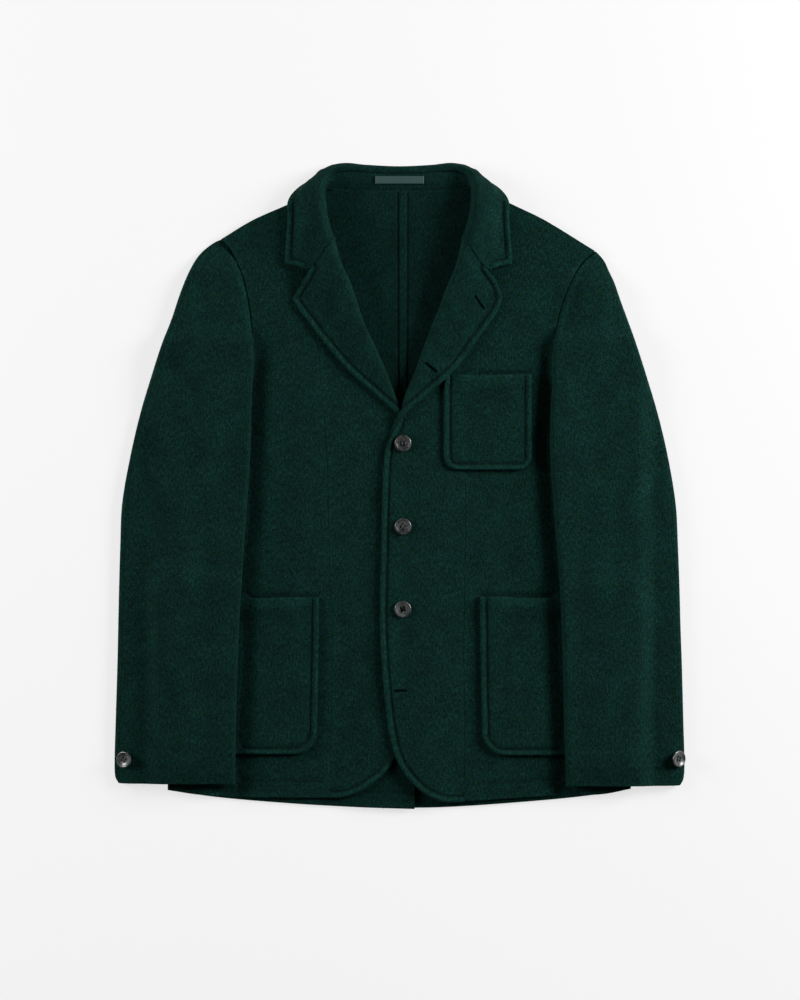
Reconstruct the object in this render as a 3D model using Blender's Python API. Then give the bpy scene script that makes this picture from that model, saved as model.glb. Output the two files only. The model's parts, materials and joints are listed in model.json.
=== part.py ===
"""Sport coat in heavy brushed wool, laid flat on its back, as cloth panels of real size.

+Z is up and the coat lies on the plane Z = 0.  +Y runs from hem to neck, +X to the wearer's left front.
All sizes below are millimetres and are turned into metres where the meshes are made.
"""
import bpy
import bmesh
import math
from collections import namedtuple
from mathutils import Matrix, Vector

METRES_PER_MM = 0.001

# ---- driving sizes -------------------------------------------------------------------------------
CLOTH = 3.2              # thickness of the brushed wool
LAPEL_CLOTH = 2.8
SLEEVE_CLOTH = 2.6
LAYER_GAP = 0.5          # air between panels that lie on each other
SEAM_GAP = 0.3           # parting of two pieces at a seam
LIFT = CLOTH + LAYER_GAP

OVERLAP_EDGE_X = 30.0    # hidden edge of the under front
OVERLAP_TOP_Y = 88.0     # the fronts cross below this
OVERLAP_RAMP = 42.0      # width over which the upper front comes down beside it
VENT_TOP_Y = -195.0
VENT_EDGE_X = 17.4       # edge of the upper vent flap
VENT_UNDER_X = -20.0     # edge of the lower vent flap
CENTRE_SEAM_X = 4.1
FALL_REACH_X = 120.0     # half width of the collar's fall under the back neck
FALL_REACH_Y = 316.0

NECK_RAMP = 78.0         # width over which the back comes down beside the fall
VENT_RAMP = 60.0         # the same beside the vent's flaps
# air under the fronts, at the chest and at the skirt: the middle of the rise, its reach and height
Air = namedtuple("Air", "x y reach_x reach_y height")
FRONT_AIR = [Air(125.0, 150.0, 60.0, 90.0, 2.4), Air(150.0, -215.0, 70.0, 80.0, 1.0)]

BUTTON_RADIUS = 10.0
BUTTON_THICK = 3.2
BUTTON_RIM = 2.4
BUTTON_DISH = 0.8
BUTTON_HOLE_RADIUS = 1.1
BUTTON_HOLE_OFFSET = 2.1
BUTTON_SIDES = 16
HOLE_SIDES = 6

SLEEVE_HEIGHT = 9.1      # two walls and the air between them
SLEEVE_FOLD = 5.6        # width of the rounded fold along a sleeve's edges
FOLD_STEPS = (0.0, 0.56, 2.0, 4.0, 6.5)   # points across the fold, from the edge
SLEEVE_TIP = 0.3         # share of the full height and thickness at the top of the sleeve head
SLEEVE_TIP_LENGTH = 38.0
SLEEVE_CAP_THIN = 0.7    # share of the sleeve's thickness over the sleeve head, where its folds are tight
SLEEVE_RAMP = 24.0       # width over which a sleeve comes down from the body to the table
ARMHOLE_GAP = 0.8        # parting at the armhole, where both edges curve
ARMHOLE_TIP_GAP = 1.5    # and more where they curve most
SLEEVE_HEAD = 4.0        # extra height of the sleeve head above the shoulder
BODY_SIDE_X = 274.0

WELT_WIDTH = 7.2         # raised edge, up to its stitched groove
WELT_HEIGHT = 1.1
GROOVE_DEPTH = 0.5
WELT_STEPS = (0.0, 1.6, 4.2, 6.4, 7.6, 9.6)   # distances from an edge at which a panel has points
WELT_LIMITS = (0.0, 0.07, 0.145, 0.215, 0.27, 0.34)   # and the most they may be as shares of the width
WELT_START = 0.12        # the raised edge starts this far up its curve
GROOVE_HALF_WIDTH = 1.6
GROOVE_IN = 0.4          # from the raised edge to the middle of the groove

COLOURS = {
    "wool": (0.0040, 0.0170, 0.0130, 1.0),
    "wool_inside": (0.0032, 0.0145, 0.0110, 1.0),
    "horn": (0.060, 0.062, 0.062, 1.0),
    "label": (0.020, 0.060, 0.055, 1.0),
}
ROUGHNESS = {"wool": 0.95, "wool_inside": 0.95, "horn": 0.35, "label": 0.6}

# ---- outlines, one row for each point: x, y ------------------------------------------------------
Point = namedtuple("Point", "x y")


def points(rows):
    return [Point(*row) for row in rows]


SHOULDER = {
    "left": points([(-206.8, 286.0), (-171.0, 307.7), (-129.0, 326.2), (-113.0, 334.0), (-94.0, 343.0)]),
    "right": points([(226.3, 272.6), (169.0, 307.7), (129.0, 327.0), (113.0, 335.0), (92.0, 345.5)]),
}
# armhole, then side seam, from the shoulder tip to the hem
OUTER = {
    "left": points([(-206.8, 286.0), (-196.2, 275.0), (-181.0, 241.6), (-172.0, 195.0), (-170.9, 160.0),
                    (-175.5, 125.0), (-192.0, 95.0), (-224.0, 76.0), (-256.0, 66.0), (-266.0, 48.0),
                    (-268.0, 15.0), (-268.0, -100.0), (-268.5, -352.0)]),
    "right": points([(226.3, 272.6), (209.0, 256.6), (189.4, 213.7), (182.4, 186.0), (179.0, 160.0),
                     (180.0, 125.0), (193.0, 95.0), (224.0, 76.0), (256.0, 66.0), (266.0, 48.0),
                     (268.0, 15.0), (268.0, -100.0), (268.0, -350.5)]),
}
# long front seam, from the shoulder to the hem
FRONT_SEAM = {
    "left": points([(-113.0, 334.0), (-109.0, 250.0), (-103.8, 204.4), (-94.5, 161.5), (-91.1, 123.2),
                    (-84.1, 30.4), (-81.1, -77.4), (-78.3, -184.0), (-80.6, -361.3)]),
    "right": points([(113.0, 335.0), (107.0, 250.0), (100.3, 204.4), (94.5, 158.0), (86.0, 86.0),
                     (77.1, 15.4), (76.0, -77.4), (74.4, -184.0), (76.0, -365.5)]),
}
# inner edge of a front: under the roll of the lapel, then the front edge round to the hem
FRONT_EDGE = {
    "left": points([(-94.0, 343.0), (-94.5, 315.0), (-86.0, 278.0), (-73.0, 243.0), (-57.0, 198.0),
                    (-36.0, 152.0), (-14.0, 112.0), (4.0, 84.0), (22.0, 50.0), (28.5, -20.0),
                    (30.0, -130.0), (27.0, -215.0), (17.0, -272.0), (-8.0, -319.5), (-18.0, -332.6),
                    (-31.9, -344.4), (-47.0, -354.2), (-66.0, -360.6), (-79.0, -361.2)]),
    "right": points([(92.0, 345.5), (91.0, 312.0), (83.0, 272.0), (67.0, 230.0), (47.0, 184.0),
                     (31.0, 142.0), (14.0, 107.0), (0.0, 84.0), (-3.7, 71.3), (-15.2, 46.1),
                     (-19.0, 10.0), (-21.3, -80.0), (-22.6, -140.0), (-20.8, -200.0), (-13.3, -277.0),
                     (-5.5, -311.0), (3.5, -329.1), (19.1, -347.7), (35.4, -359.6), (54.0, -365.8),
                     (74.5, -366.0)]),
}
FRONT_HEM = {
    "left": points([(-268.5, -352.0), (-231.0, -357.5), (-181.5, -360.5), (-80.6, -361.3)]),
    "right": points([(268.0, -350.5), (235.0, -356.8), (168.8, -359.5), (76.0, -365.5)]),
}
BACK_HEM = {
    "left": points([(-268.5, -353.5), (-211.7, -361.6), (-127.0, -368.4), (-57.4, -372.0),
                    (VENT_EDGE_X, -374.0)]),
    "right": points([(268.0, -352.0), (221.0, -359.6), (151.4, -366.2), (52.8, -372.4),
                     (VENT_UNDER_X, -373.0)]),
}
BACK_NECK_HALF = points([(94.0, 343.0), (74.0, 342.0), (40.0, 341.0), (CENTRE_SEAM_X, 340.6)])
WAIST_OF_VENT = 14.0     # length over which the flaps widen from the centre seam

# lapels: crest of the roll, gorge seam with notch edge, outer edge, one row for each point
LAPEL_CREST = {
    "left": points([(-80.5, 279.0), (-73.0, 256.0), (-58.5, 220.3), (-46.5, 188.2), (-31.5, 157.0),
                    (-19.5, 131.0), (-9.5, 108.2), (-5.6, 96.0)]),
    "right": points([(78.0, 277.0), (69.0, 246.0), (56.5, 216.0), (42.5, 184.0), (31.5, 156.0),
                     (23.0, 133.0), (13.0, 112.6), (5.6, 94.2)]),
}
GORGE_GAP = 1.8          # parting along the gorge, where both pieces slope
GORGE = {
    "left": points([(-80.5, 279.0), (-89.0, 268.2), (-104.2, 249.4), (-109.2, 240.8), (-116.1, 229.5),
                    (-123.6, 217.0)]),
    "right": points([(78.0, 277.0), (88.0, 266.0), (101.7, 248.5), (108.5, 241.0), (114.3, 231.8),
                     (119.0, 218.0)]),
}
LAPEL_EDGE = {
    "left": points([(-123.6, 217.0), (-118.3, 206.8), (-107.3, 192.8), (-93.4, 174.3), (-77.1, 153.9),
                    (-58.6, 133.2), (-35.8, 112.8), (-12.0, 92.0)]),
    "right": points([(119.0, 218.0), (114.3, 204.4), (103.8, 188.2), (90.4, 169.9), (74.2, 146.9),
                     (58.2, 128.6), (39.9, 112.6), (10.5, 87.0)]),
}
# height of the roll above the front's top face, at stations down the lapel: y, rise, half width of the fold
RollStation = namedtuple("RollStation", "y rise half_width")
ROLL_STATIONS = [
    RollStation(285.0, 19.0, 7.6), RollStation(240.0, 15.0, 7.4), RollStation(190.0, 10.0, 6.4),
    RollStation(140.0, 5.4, 5.2), RollStation(85.0, 1.4, 4.6),
]

# collar sections from the gorge round to the centre back; roll is the innermost point of the fold,
# crest its top, mid lies half way down the leaf, edge is the outer edge; z is the outer face
CollarRow = namedtuple("CollarRow", "roll_x roll_y roll_z crest_x crest_y crest_z "
                                    "mid_x mid_y mid_z edge_x edge_y edge_z")
COLLAR_ROWS = [
    CollarRow(73.0, 285.0, 21.0, 80.5, 281.0, 29.5, 104.2, 251.4, 20.6, 132.6, 257.0, 12.0),
    CollarRow(76.5, 291.5, 22.0, 84.5, 289.0, 31.5, 106.5, 271.0, 22.0, 132.4, 270.0, 12.6),
    CollarRow(80.0, 302.0, 23.0, 88.5, 300.0, 33.0, 109.0, 290.0, 23.5, 131.0, 289.0, 14.2),
    CollarRow(83.0, 315.0, 23.0, 91.5, 315.0, 34.0, 111.0, 311.0, 24.5, 129.4, 311.0, 15.4),
    CollarRow(84.6, 328.0, 22.0, 92.5, 330.0, 33.0, 111.5, 332.0, 24.0, 129.6, 328.0, 15.4),
    CollarRow(85.2, 339.0, 19.0, 92.0, 343.5, 29.5, 108.5, 348.0, 19.0, 121.5, 342.0, 7.5),
    CollarRow(84.6, 349.0, 15.5, 90.0, 355.0, 24.0, 100.5, 357.5, 13.0, 110.0, 350.0, 1.5),
    CollarRow(81.0, 358.0, 12.0, 84.5, 364.0, 18.5, 91.0, 366.8, 9.0, 99.0, 340.0, 0.0),
    CollarRow(72.5, 364.0, 9.4, 74.0, 369.5, 13.0, 77.5, 372.6, 6.0, 84.0, 328.0, 0.0),
    CollarRow(59.0, 365.4, 8.2, 59.5, 371.0, 10.0, 60.5, 374.8, 5.0, 62.0, 322.5, 0.0),
    CollarRow(38.0, 364.2, 8.0, 38.0, 369.0, 9.2, 38.0, 372.6, 4.6, 38.0, 322.5, 0.0),
    CollarRow(0.0, 362.8, 8.0, 0.0, 367.4, 9.2, 0.0, 371.0, 4.6, 0.0, 322.5, 0.0),
]
COLLAR_SHIFT_X = {"left": 0.0, "right": -2.6}    # the two leaves lie slightly unlike

# collar stand: its foot along the neck seam, by the same stations as the collar: x, y
STAND_FOOT = points([(80.0, 290.0), (83.5, 300.0), (86.5, 311.0), (88.5, 323.0), (89.0, 335.0),
                     (84.5, 344.2), (73.0, 343.2), (57.0, 342.2), (38.0, 341.7), (0.0, 341.2)])

STAND_RISE = 0.2         # height of the stand's foot over the back's face, behind and beside the neck
STAND_RISE_SIDE = 1.2
STAND_RISE_CORNER = 2.8
STAND_PARTING = 0.5      # parting of the stand and the collar's fold, behind and beside the neck
STAND_PARTING_SIDE = 2.4

# sleeves: one row for each section, distances from the centre line
SleeveRow = namedtuple("SleeveRow", "y inner outer")
SLEEVE_ROWS = {
    "left": [
        SleeveRow(279.5, 200.0, 219.5), SleeveRow(272.0, 195.0, 228.5), SleeveRow(262.0, 190.2, 236.5),
        SleeveRow(243.0, 182.0, 246.2), SleeveRow(222.0, 176.8, 254.5), SleeveRow(195.0, 172.5, 263.5),
        SleeveRow(163.0, 171.3, 275.4), SleeveRow(130.0, 170.6, 286.4), SleeveRow(90.0, 171.0, 298.8),
        SleeveRow(40.0, 172.4, 310.8), SleeveRow(-20.0, 175.9, 321.4), SleeveRow(-70.0, 179.6, 323.6),
        SleeveRow(-118.0, 182.6, 325.0), SleeveRow(-160.0, 185.0, 325.9), SleeveRow(-210.0, 187.0, 327.0),
        SleeveRow(-275.0, 188.7, 329.0), SleeveRow(-322.0, 189.5, 330.2), SleeveRow(-337.0, 189.7, 329.2),
        SleeveRow(-344.5, 189.7, 325.0),
    ],
    "right": [
        SleeveRow(265.5, 219.4, 234.2), SleeveRow(259.0, 212.0, 238.6), SleeveRow(250.0, 204.4, 242.4),
        SleeveRow(236.0, 197.6, 248.8), SleeveRow(215.0, 190.2, 256.0), SleeveRow(190.0, 183.8, 265.2),
        SleeveRow(165.0, 179.8, 273.6), SleeveRow(130.0, 177.8, 285.2), SleeveRow(90.0, 174.8, 297.6),
        SleeveRow(40.0, 174.0, 309.8), SleeveRow(-20.0, 178.0, 320.0), SleeveRow(-70.0, 182.0, 322.7),
        SleeveRow(-118.0, 185.2, 324.5), SleeveRow(-160.0, 187.3, 325.6), SleeveRow(-210.0, 188.8, 327.3),
        SleeveRow(-275.0, 190.2, 329.0), SleeveRow(-322.0, 191.9, 330.2), SleeveRow(-339.0, 192.4, 329.0),
        SleeveRow(-347.0, 192.6, 325.0),
    ],
}
CAP_END_Y = 165.0        # below this the sleeve's inner edge is a free fold
CAP_BLEND = 26.0
HIND_SEAM = 5.6          # from the outer edge to the sleeve's long seam
TOP_FOLD_STEPS = (9.5, 7.5, HIND_SEAM)
# lengthwise lines of points in the middle of a sleeve: place beside the body, and the most it may be as
# a share of a narrow and of a wide section
SleevePlace = namedtuple("SleevePlace", "x narrow wide")
SLEEVE_PLACES = [SleevePlace(BODY_SIDE_X, 0.45, 0.62), SleevePlace(BODY_SIDE_X + 11.0, 0.55, 0.70),
                 SleevePlace(BODY_SIDE_X + SLEEVE_RAMP, 0.65, 0.77)]

# patch pockets: the sides, mouth and bottom, corner radius at the bottom, narrowing towards the bottom
Pocket = namedtuple("Pocket", "left right top bottom corner taper")
POCKETS = {
    "pocket_breast": Pocket(51.4, 153.0, 129.6, 18.6, 16.0, 0.0),
    "pocket_left": Pocket(-248.0, -93.0, -128.6, -310.6, 27.0, 5.0),
    "pocket_right": Pocket(93.0, 248.0, -128.0, -311.8, 27.0, 5.0),
}

# buttons: x, y, tilt about the Y axis in degrees
Button = namedtuple("Button", "x y tilt")
FRONT_BUTTONS = [Button(4.1, 49.6, 0.0), Button(4.1, -46.7, 0.0), Button(3.9, -142.2, 0.0)]
CUFF_BUTTONS = {"left": Button(-318.2, -316.3, -27.0), "right": Button(322.2, -315.4, 38.0)}
CUFF_BUTTON_RISE = {"left": 4.6, "right": 4.4}   # of a tilted button's foot over the sleeve

LABEL_HALF_WIDTH = 28.2
LABEL_LOW = 0.45         # the label's edges as shares of the stand's height
LABEL_HIGH = 0.85
LABEL_THICK = 0.8


# ---- helpers -------------------------------------------------------------------------------------
def ease(value):
    value = min(max(value, 0.0), 1.0)
    return value * value * (3.0 - 2.0 * value)


def mix(start, end, share):
    return start + (end - start) * share


def spline(rows, shares):
    """Points at shares of the length of a smooth curve through rows of numbers."""
    fine = []
    for index in range(len(rows) - 1):
        before = rows[max(index - 1, 0)]
        after = rows[min(index + 2, len(rows) - 1)]
        for step in range(8):
            fine.append(hermite(before, rows[index], rows[index + 1], after, step / 8.0))
    fine.append(tuple(rows[-1]))
    reach = [0.0]
    for start, end in zip(fine, fine[1:]):
        reach.append(reach[-1] + math.dist(start, end))
    return [along(fine, reach, share * reach[-1]) for share in shares]


def hermite(before, start, end, after, share):
    """One point between start and end, with slopes weighed by the spacing of the rows."""
    span = max(math.dist(start, end), 1e-6)
    span_before = math.dist(before, start)
    span_after = math.dist(end, after)
    square = share * share
    cube = square * share
    result = []
    for p0, p1, p2, p3 in zip(before, start, end, after):
        slope_in = (p2 - p0) * span / (span_before + span)
        slope_out = (p3 - p1) * span / (span + span_after)
        result.append((2 * cube - 3 * square + 1) * p1 + (cube - 2 * square + share) * slope_in
                      + (3 * square - 2 * cube) * p2 + (cube - square) * slope_out)
    return tuple(result)


def along(fine, reach, distance):
    for index in range(len(fine) - 1):
        if distance <= reach[index + 1]:
            share = (distance - reach[index]) / max(reach[index + 1] - reach[index], 1e-9)
            return tuple(mix(a, b, share) for a, b in zip(fine[index], fine[index + 1]))
    return tuple(fine[-1])


def table_value(rows, column, y):
    """Value of a column at height y in a table whose rows run from high y to low y."""
    if y >= rows[0].y:
        return getattr(rows[0], column)
    for upper, lower in zip(rows, rows[1:]):
        if y >= lower.y:
            share = ease((upper.y - y) / (upper.y - lower.y))
            return mix(getattr(upper, column), getattr(lower, column), share)
    return getattr(rows[-1], column)


def patch(outer, inner, top, bottom, columns, rows):
    """Plan points of a panel between four edges: rows run down, columns from outer to inner.

    columns and rows are shares; columns may be a function of the row's width."""
    outer_points = spline(outer, rows)
    inner_points = spline(inner, rows)
    grid = []
    for v, left, right in zip(rows, outer_points, inner_points):
        shares = columns(math.dist(left, right)) if callable(columns) else columns
        top_points = spline(top, shares)
        bottom_points = spline(bottom, shares)
        line = []
        for u, high, low in zip(shares, top_points, bottom_points):
            line.append(tuple(
                mix(left[k], right[k], u) + mix(high[k], low[k], v)
                - mix(mix(top[0][k], top[-1][k], u), mix(bottom[0][k], bottom[-1][k], u), v)
                for k in range(2)))
        grid.append(line)
    return grid


def even(count):
    return [index / count for index in range(count + 1)]


def welted(count, at_start=False, at_end=True):
    """Column shares of a panel, close together where an edge carries a welt."""
    def shares(width):
        steps = [min(step / max(width, 1.0), limit) for step, limit in zip(WELT_STEPS, WELT_LIMITS)]
        first = steps if at_start else [0.0]
        last = [1.0 - step for step in reversed(steps)] if at_end else [1.0]
        inside = [mix(first[-1], last[0], (index + 1) / count) for index in range(count - 1)]
        return first + inside + last
    return shares


def distance_to(line, x, y):
    """Distance from a plan point to a polyline."""
    best = 1e9
    for start, end in zip(line, line[1:]):
        run_x = end[0] - start[0]
        run_y = end[1] - start[1]
        share = ((x - start[0]) * run_x + (y - start[1]) * run_y) / max(run_x * run_x + run_y * run_y, 1e-9)
        share = min(max(share, 0.0), 1.0)
        best = min(best, math.hypot(x - start[0] - share * run_x, y - start[1] - share * run_y))
    return best


def welt(distance):
    """Height of the raised edge and its stitched groove at a distance from the edge."""
    if distance < WELT_WIDTH:
        return WELT_HEIGHT * math.sin(math.pi * min(distance / WELT_WIDTH + WELT_START, 1.0))
    return -GROOVE_DEPTH * max(0.0, 1.0 - abs(distance - WELT_WIDTH - GROOVE_IN) / GROOVE_HALF_WIDTH)


def material(name):
    made = bpy.data.materials.get(name)
    if made is None:
        made = bpy.data.materials.new(name)
        made.use_nodes = True
        shader = made.node_tree.nodes["Principled BSDF"]
        shader.inputs["Base Color"].default_value = COLOURS[name]
        shader.inputs["Roughness"].default_value = ROUGHNESS[name]
        shader.inputs["Metallic"].default_value = 0.0
    return made


def add_object(name, mesh, finish):
    mesh.materials.append(material(finish))
    made = bpy.data.objects.new(name, mesh)
    coat.objects.link(made)
    return made


def bend(before, place, after):
    """Direction of a line of points at one of them, halfway between its two segments."""
    first = Vector(place) - Vector(before)
    second = Vector(after) - Vector(place)
    return first.normalized() + second.normalized()


def face_normals(grid):
    """Unit normal at each point of a grid, on the side that is up for a flat panel."""
    last_row = len(grid) - 1
    last_column = len(grid[0]) - 1
    normals = []
    for row, line in enumerate(grid):
        normals.append([])
        for column, place in enumerate(line):
            down = bend(grid[max(row - 1, 0)][column], place, grid[min(row + 1, last_row)][column])
            across = bend(line[max(column - 1, 0)], place, line[min(column + 1, last_column)])
            normals[-1].append(down.cross(across).normalized())
    return normals


def wall(name, grid, finish="wool", relief=None, outward=1.0, thickness=CLOTH, thins=None, guides=False):
    """A cloth wall: outer points on the grid, raised by the relief, inner points one thickness inside.

    thins gives the share of the thickness at a height y.  With guides, the first and last columns only
    turn the wall's edges and aren't part of it."""
    normals = face_normals(grid)
    if guides:
        normals = [line[1:-1] for line in normals]
        grid = [line[1:-1] for line in grid]
    builder = bmesh.new()
    layers = {"outer": [], "inner": []}
    for row, line in enumerate(grid):
        for side in layers:
            layers[side].append([])
        for column, place in enumerate(line):
            normal = normals[row][column] * outward
            raise_by = relief(place[0], place[1]) if relief else 0.0
            base = Vector(place)
            depth = thickness * thins(place[1]) if thins else thickness
            for layer, moved in (("outer", base + normal * raise_by), ("inner", base - normal * depth)):
                moved.z = max(moved.z, 0.0)
                layers[layer][-1].append(builder.verts.new(moved * METRES_PER_MM))
    for row in range(len(grid) - 1):
        for column in range(len(grid[0]) - 1):
            for layer in layers.values():
                builder.faces.new((layer[row][column], layer[row][column + 1],
                                   layer[row + 1][column + 1], layer[row + 1][column]))
    for first, second in rim_steps(len(grid), len(grid[0])):
        builder.faces.new((layers["outer"][first[0]][first[1]], layers["outer"][second[0]][second[1]],
                           layers["inner"][second[0]][second[1]], layers["inner"][first[0]][first[1]]))
    bmesh.ops.triangulate(builder, faces=builder.faces[:], quad_method="SHORT_EDGE")
    bmesh.ops.recalc_face_normals(builder, faces=builder.faces[:])
    mesh = bpy.data.meshes.new(name)
    builder.to_mesh(mesh)
    builder.free()
    mesh.shade_smooth()
    mesh.set_sharp_from_angle(angle=math.radians(50.0))
    return add_object(name, mesh, finish)


def rim_steps(rows, columns):
    """Pairs of neighbouring grid places round the edge of a grid."""
    ring = [(0, column) for column in range(columns)]
    ring += [(row, columns - 1) for row in range(1, rows)]
    ring += [(rows - 1, column) for column in range(columns - 2, -1, -1)]
    ring += [(row, 0) for row in range(rows - 2, 0, -1)]
    return list(zip(ring, ring[1:] + ring[:1]))


# ---- heights of the stacked layers ---------------------------------------------------------------
def neck_lift(x, y):
    """The back rises over the collar's fall."""
    beside = ease((FALL_REACH_X + NECK_RAMP - abs(x)) / NECK_RAMP)
    return LIFT * beside * ease((y - FALL_REACH_Y + NECK_RAMP) / NECK_RAMP)


def vent_lift(x, y):
    """The upper vent flap rises over the lower one."""
    beside = ease((x - VENT_UNDER_X + 4.0 + VENT_RAMP) / VENT_RAMP)
    beside *= ease((VENT_EDGE_X + 4.0 + VENT_RAMP - x) / VENT_RAMP)
    return LIFT * beside * ease((VENT_TOP_Y + 2.0 * VENT_RAMP - y) / (2.0 * VENT_RAMP))


def puff(x, y):
    """Air under the fronts at the chest and the skirt."""
    total = 0.0
    for air in FRONT_AIR:
        beside = ((abs(x) - air.x) / air.reach_x) ** 2
        total += air.height * math.exp(-beside - ((y - air.y) / air.reach_y) ** 2)
    return total


def back_top(x, y):
    return CLOTH + neck_lift(x, y) + vent_lift(x, y)


def side_top(x, y):
    return back_top(x, y) + LIFT + puff(x, y)


def upper_front_top(x, y):
    over = ease((OVERLAP_EDGE_X + 4.0 + OVERLAP_RAMP - x) / OVERLAP_RAMP)
    below = ease((OVERLAP_TOP_Y + 72.0 - y) / 72.0)
    return side_top(x, y) + LIFT * over * below


def body_top(x, y):
    """Top of the body and the lower pockets, where a sleeve lies on it."""
    on_pocket = ease((y + 352.0) / 28.0) * ease((-80.0 - y) / 36.0) * ease((300.0 - abs(x)) / 38.0)
    return side_top(x, y) + (LIFT + WELT_HEIGHT) * on_pocket


def lay(grid, height):
    return [[(x, y, height(x, y)) for x, y in line] for line in grid]


def inset(line, dx):
    return [(x + dx, y) for x, y in line]


# ---- body panels ---------------------------------------------------------------------------------
BODY_ROWS = [0.0, 0.035, 0.075, 0.115, 0.155, 0.195, 0.235, 0.275, 0.315, 0.345, 0.375, 0.41, 0.45,
             0.51, 0.57, 0.63, 0.69, 0.745, 0.79, 0.83, 0.865, 0.90, 0.93, 0.96, 1.0]
BACK_ROWS = [0.0, 0.03, 0.06, 0.09, 0.13, 0.18, 0.24, 0.30, 0.36, 0.43, 0.49, 0.55, 0.60, 0.65, 0.70,
             0.73, 0.75, 0.765, 0.80, 0.87, 0.94, 1.0]
BACK_COLUMNS = [0.0, 0.14, 0.28, 0.41, 0.52, 0.62, 0.72, 0.81, 0.89, 0.95, 1.0]


def make_side(side):
    sign = -1.0 if side == "left" else 1.0
    outer = OUTER[side]
    seam = inset(FRONT_SEAM[side], sign * SEAM_GAP / 2)
    shoulder = SHOULDER[side][:4]
    grid = patch(outer, seam, shoulder, FRONT_HEM[side], even(7), BODY_ROWS)
    wall("side_" + side, lay(grid, side_top), outward=-sign)


def make_front(side):
    sign = -1.0 if side == "left" else 1.0
    seam = inset(FRONT_SEAM[side], -sign * SEAM_GAP / 2)
    edge = FRONT_EDGE[side]
    top = [seam[0], edge[0]]
    bottom = [seam[-1], edge[-1]]
    grid = patch(seam, edge, top, bottom, welted(6), BODY_ROWS)
    edge_line = spline(edge, even(80))
    start_y = 70.0 if side == "right" else -321.0

    def relief(x, y):
        return welt(distance_to(edge_line, x, y)) * ease((start_y - y) / 20.0)
    height = upper_front_top if side == "right" else side_top
    wall("front_" + side, lay(grid, height), relief=relief, outward=-sign)


def make_back(side):
    sign = -1.0 if side == "left" else 1.0
    neck_foot = [(sign * x, y) for x, y in BACK_NECK_HALF]
    neck_foot[-1] = (CENTRE_SEAM_X + sign * SEAM_GAP / 2, neck_foot[-1][1])
    top = list(SHOULDER[side][:3]) + [tuple(SHOULDER[side][-1])] + neck_foot[1:]
    flap_x = VENT_EDGE_X if side == "left" else VENT_UNDER_X
    seam_x = neck_foot[-1][0]
    inner = [(seam_x, neck_foot[-1][1]), (seam_x, 0.0), (seam_x, VENT_TOP_Y + WAIST_OF_VENT),
             (flap_x, VENT_TOP_Y), (flap_x, BACK_HEM[side][-1][1])]

    def height(x, y):
        vent = vent_lift(x, y) if side == "left" else 0.0
        return CLOTH + neck_lift(x, y) + vent
    grid = patch(OUTER[side], inner, top, BACK_HEM[side], BACK_COLUMNS, BACK_ROWS)
    wall("back_" + side, lay(grid, height), finish="wool_inside", outward=-sign)


# ---- lapels and collar ---------------------------------------------------------------------------
LAPEL_ROWS = [0.0, 0.03, 0.07, 0.12, 0.19, 0.27, 0.36, 0.45, 0.55, 0.65, 0.75, 0.84, 0.92, 1.0]
TURN_STEPS = 6           # points round the fold of the roll
COLLAR_SHARES = [0.0, 0.07, 0.15, 0.24, 0.36, 0.48, 0.60, 0.72, 0.84, 0.90, 0.95, 1.0]
COLLAR_STATIONS = 36
WELTED_COLLAR_Y = (245.0, 322.0)


def front_height(side):
    return upper_front_top if side == "right" else side_top


def make_lapel(side):
    """The lapel with its roll: columns run from the hidden turn under the roll to the outer edge."""
    sign = -1.0 if side == "left" else 1.0
    gorge = [(x, y - GORGE_GAP) for x, y in GORGE[side]]
    bottom = [LAPEL_EDGE[side][-1], LAPEL_CREST[side][-1]]
    plan = patch(LAPEL_EDGE[side], LAPEL_CREST[side], gorge[::-1], bottom, welted(5, True, False), LAPEL_ROWS)
    edge_line = spline(LAPEL_EDGE[side], even(30))
    notch_line = spline(gorge[2:], even(10))
    front_face = front_height(side)

    def base(x, y):
        """The front's top face, and the breast pocket's corner under the lapel."""
        over_pocket = ease((x - 34.0) / 16.0) * ease((150.0 - y) / 16.0)
        return front_face(x, y) + (LIFT + WELT_HEIGHT) * over_pocket
    grid = []
    for line in plan:
        crest_x, crest_y = line[-1]
        rise = table_value(ROLL_STATIONS, "rise", crest_y)
        half_width = table_value(ROLL_STATIONS, "half_width", crest_y)
        width = math.dist(line[0], line[-1])
        section = []
        for x, y in line:
            near_roll = 1.0 - ease(math.dist((x, y), line[-1]) / max(width, 1.0))
            section.append((x, y, base(x, y) + LIFT + rise * near_roll))
        crest_z = section[-1][2]
        foot_z = front_face(crest_x, crest_y)
        half_height = (crest_z - foot_z + CLOTH) / 2.0
        turn = mix(0.36, 0.97, ease((crest_y - 95.0) / 45.0))
        for step in range(1, TURN_STEPS + 1):
            angle = math.pi * turn * step / TURN_STEPS
            section.append((crest_x - sign * half_width * math.sin(angle), crest_y,
                            crest_z - half_height * (1.0 - math.cos(angle))))
        grid.append(section)

    def relief(x, y):
        return welt(min(distance_to(edge_line, x, y), distance_to(notch_line, x, y)))
    wall("lapel_" + side, grid, relief=relief, outward=-sign, thickness=LAPEL_CLOTH)


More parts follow.
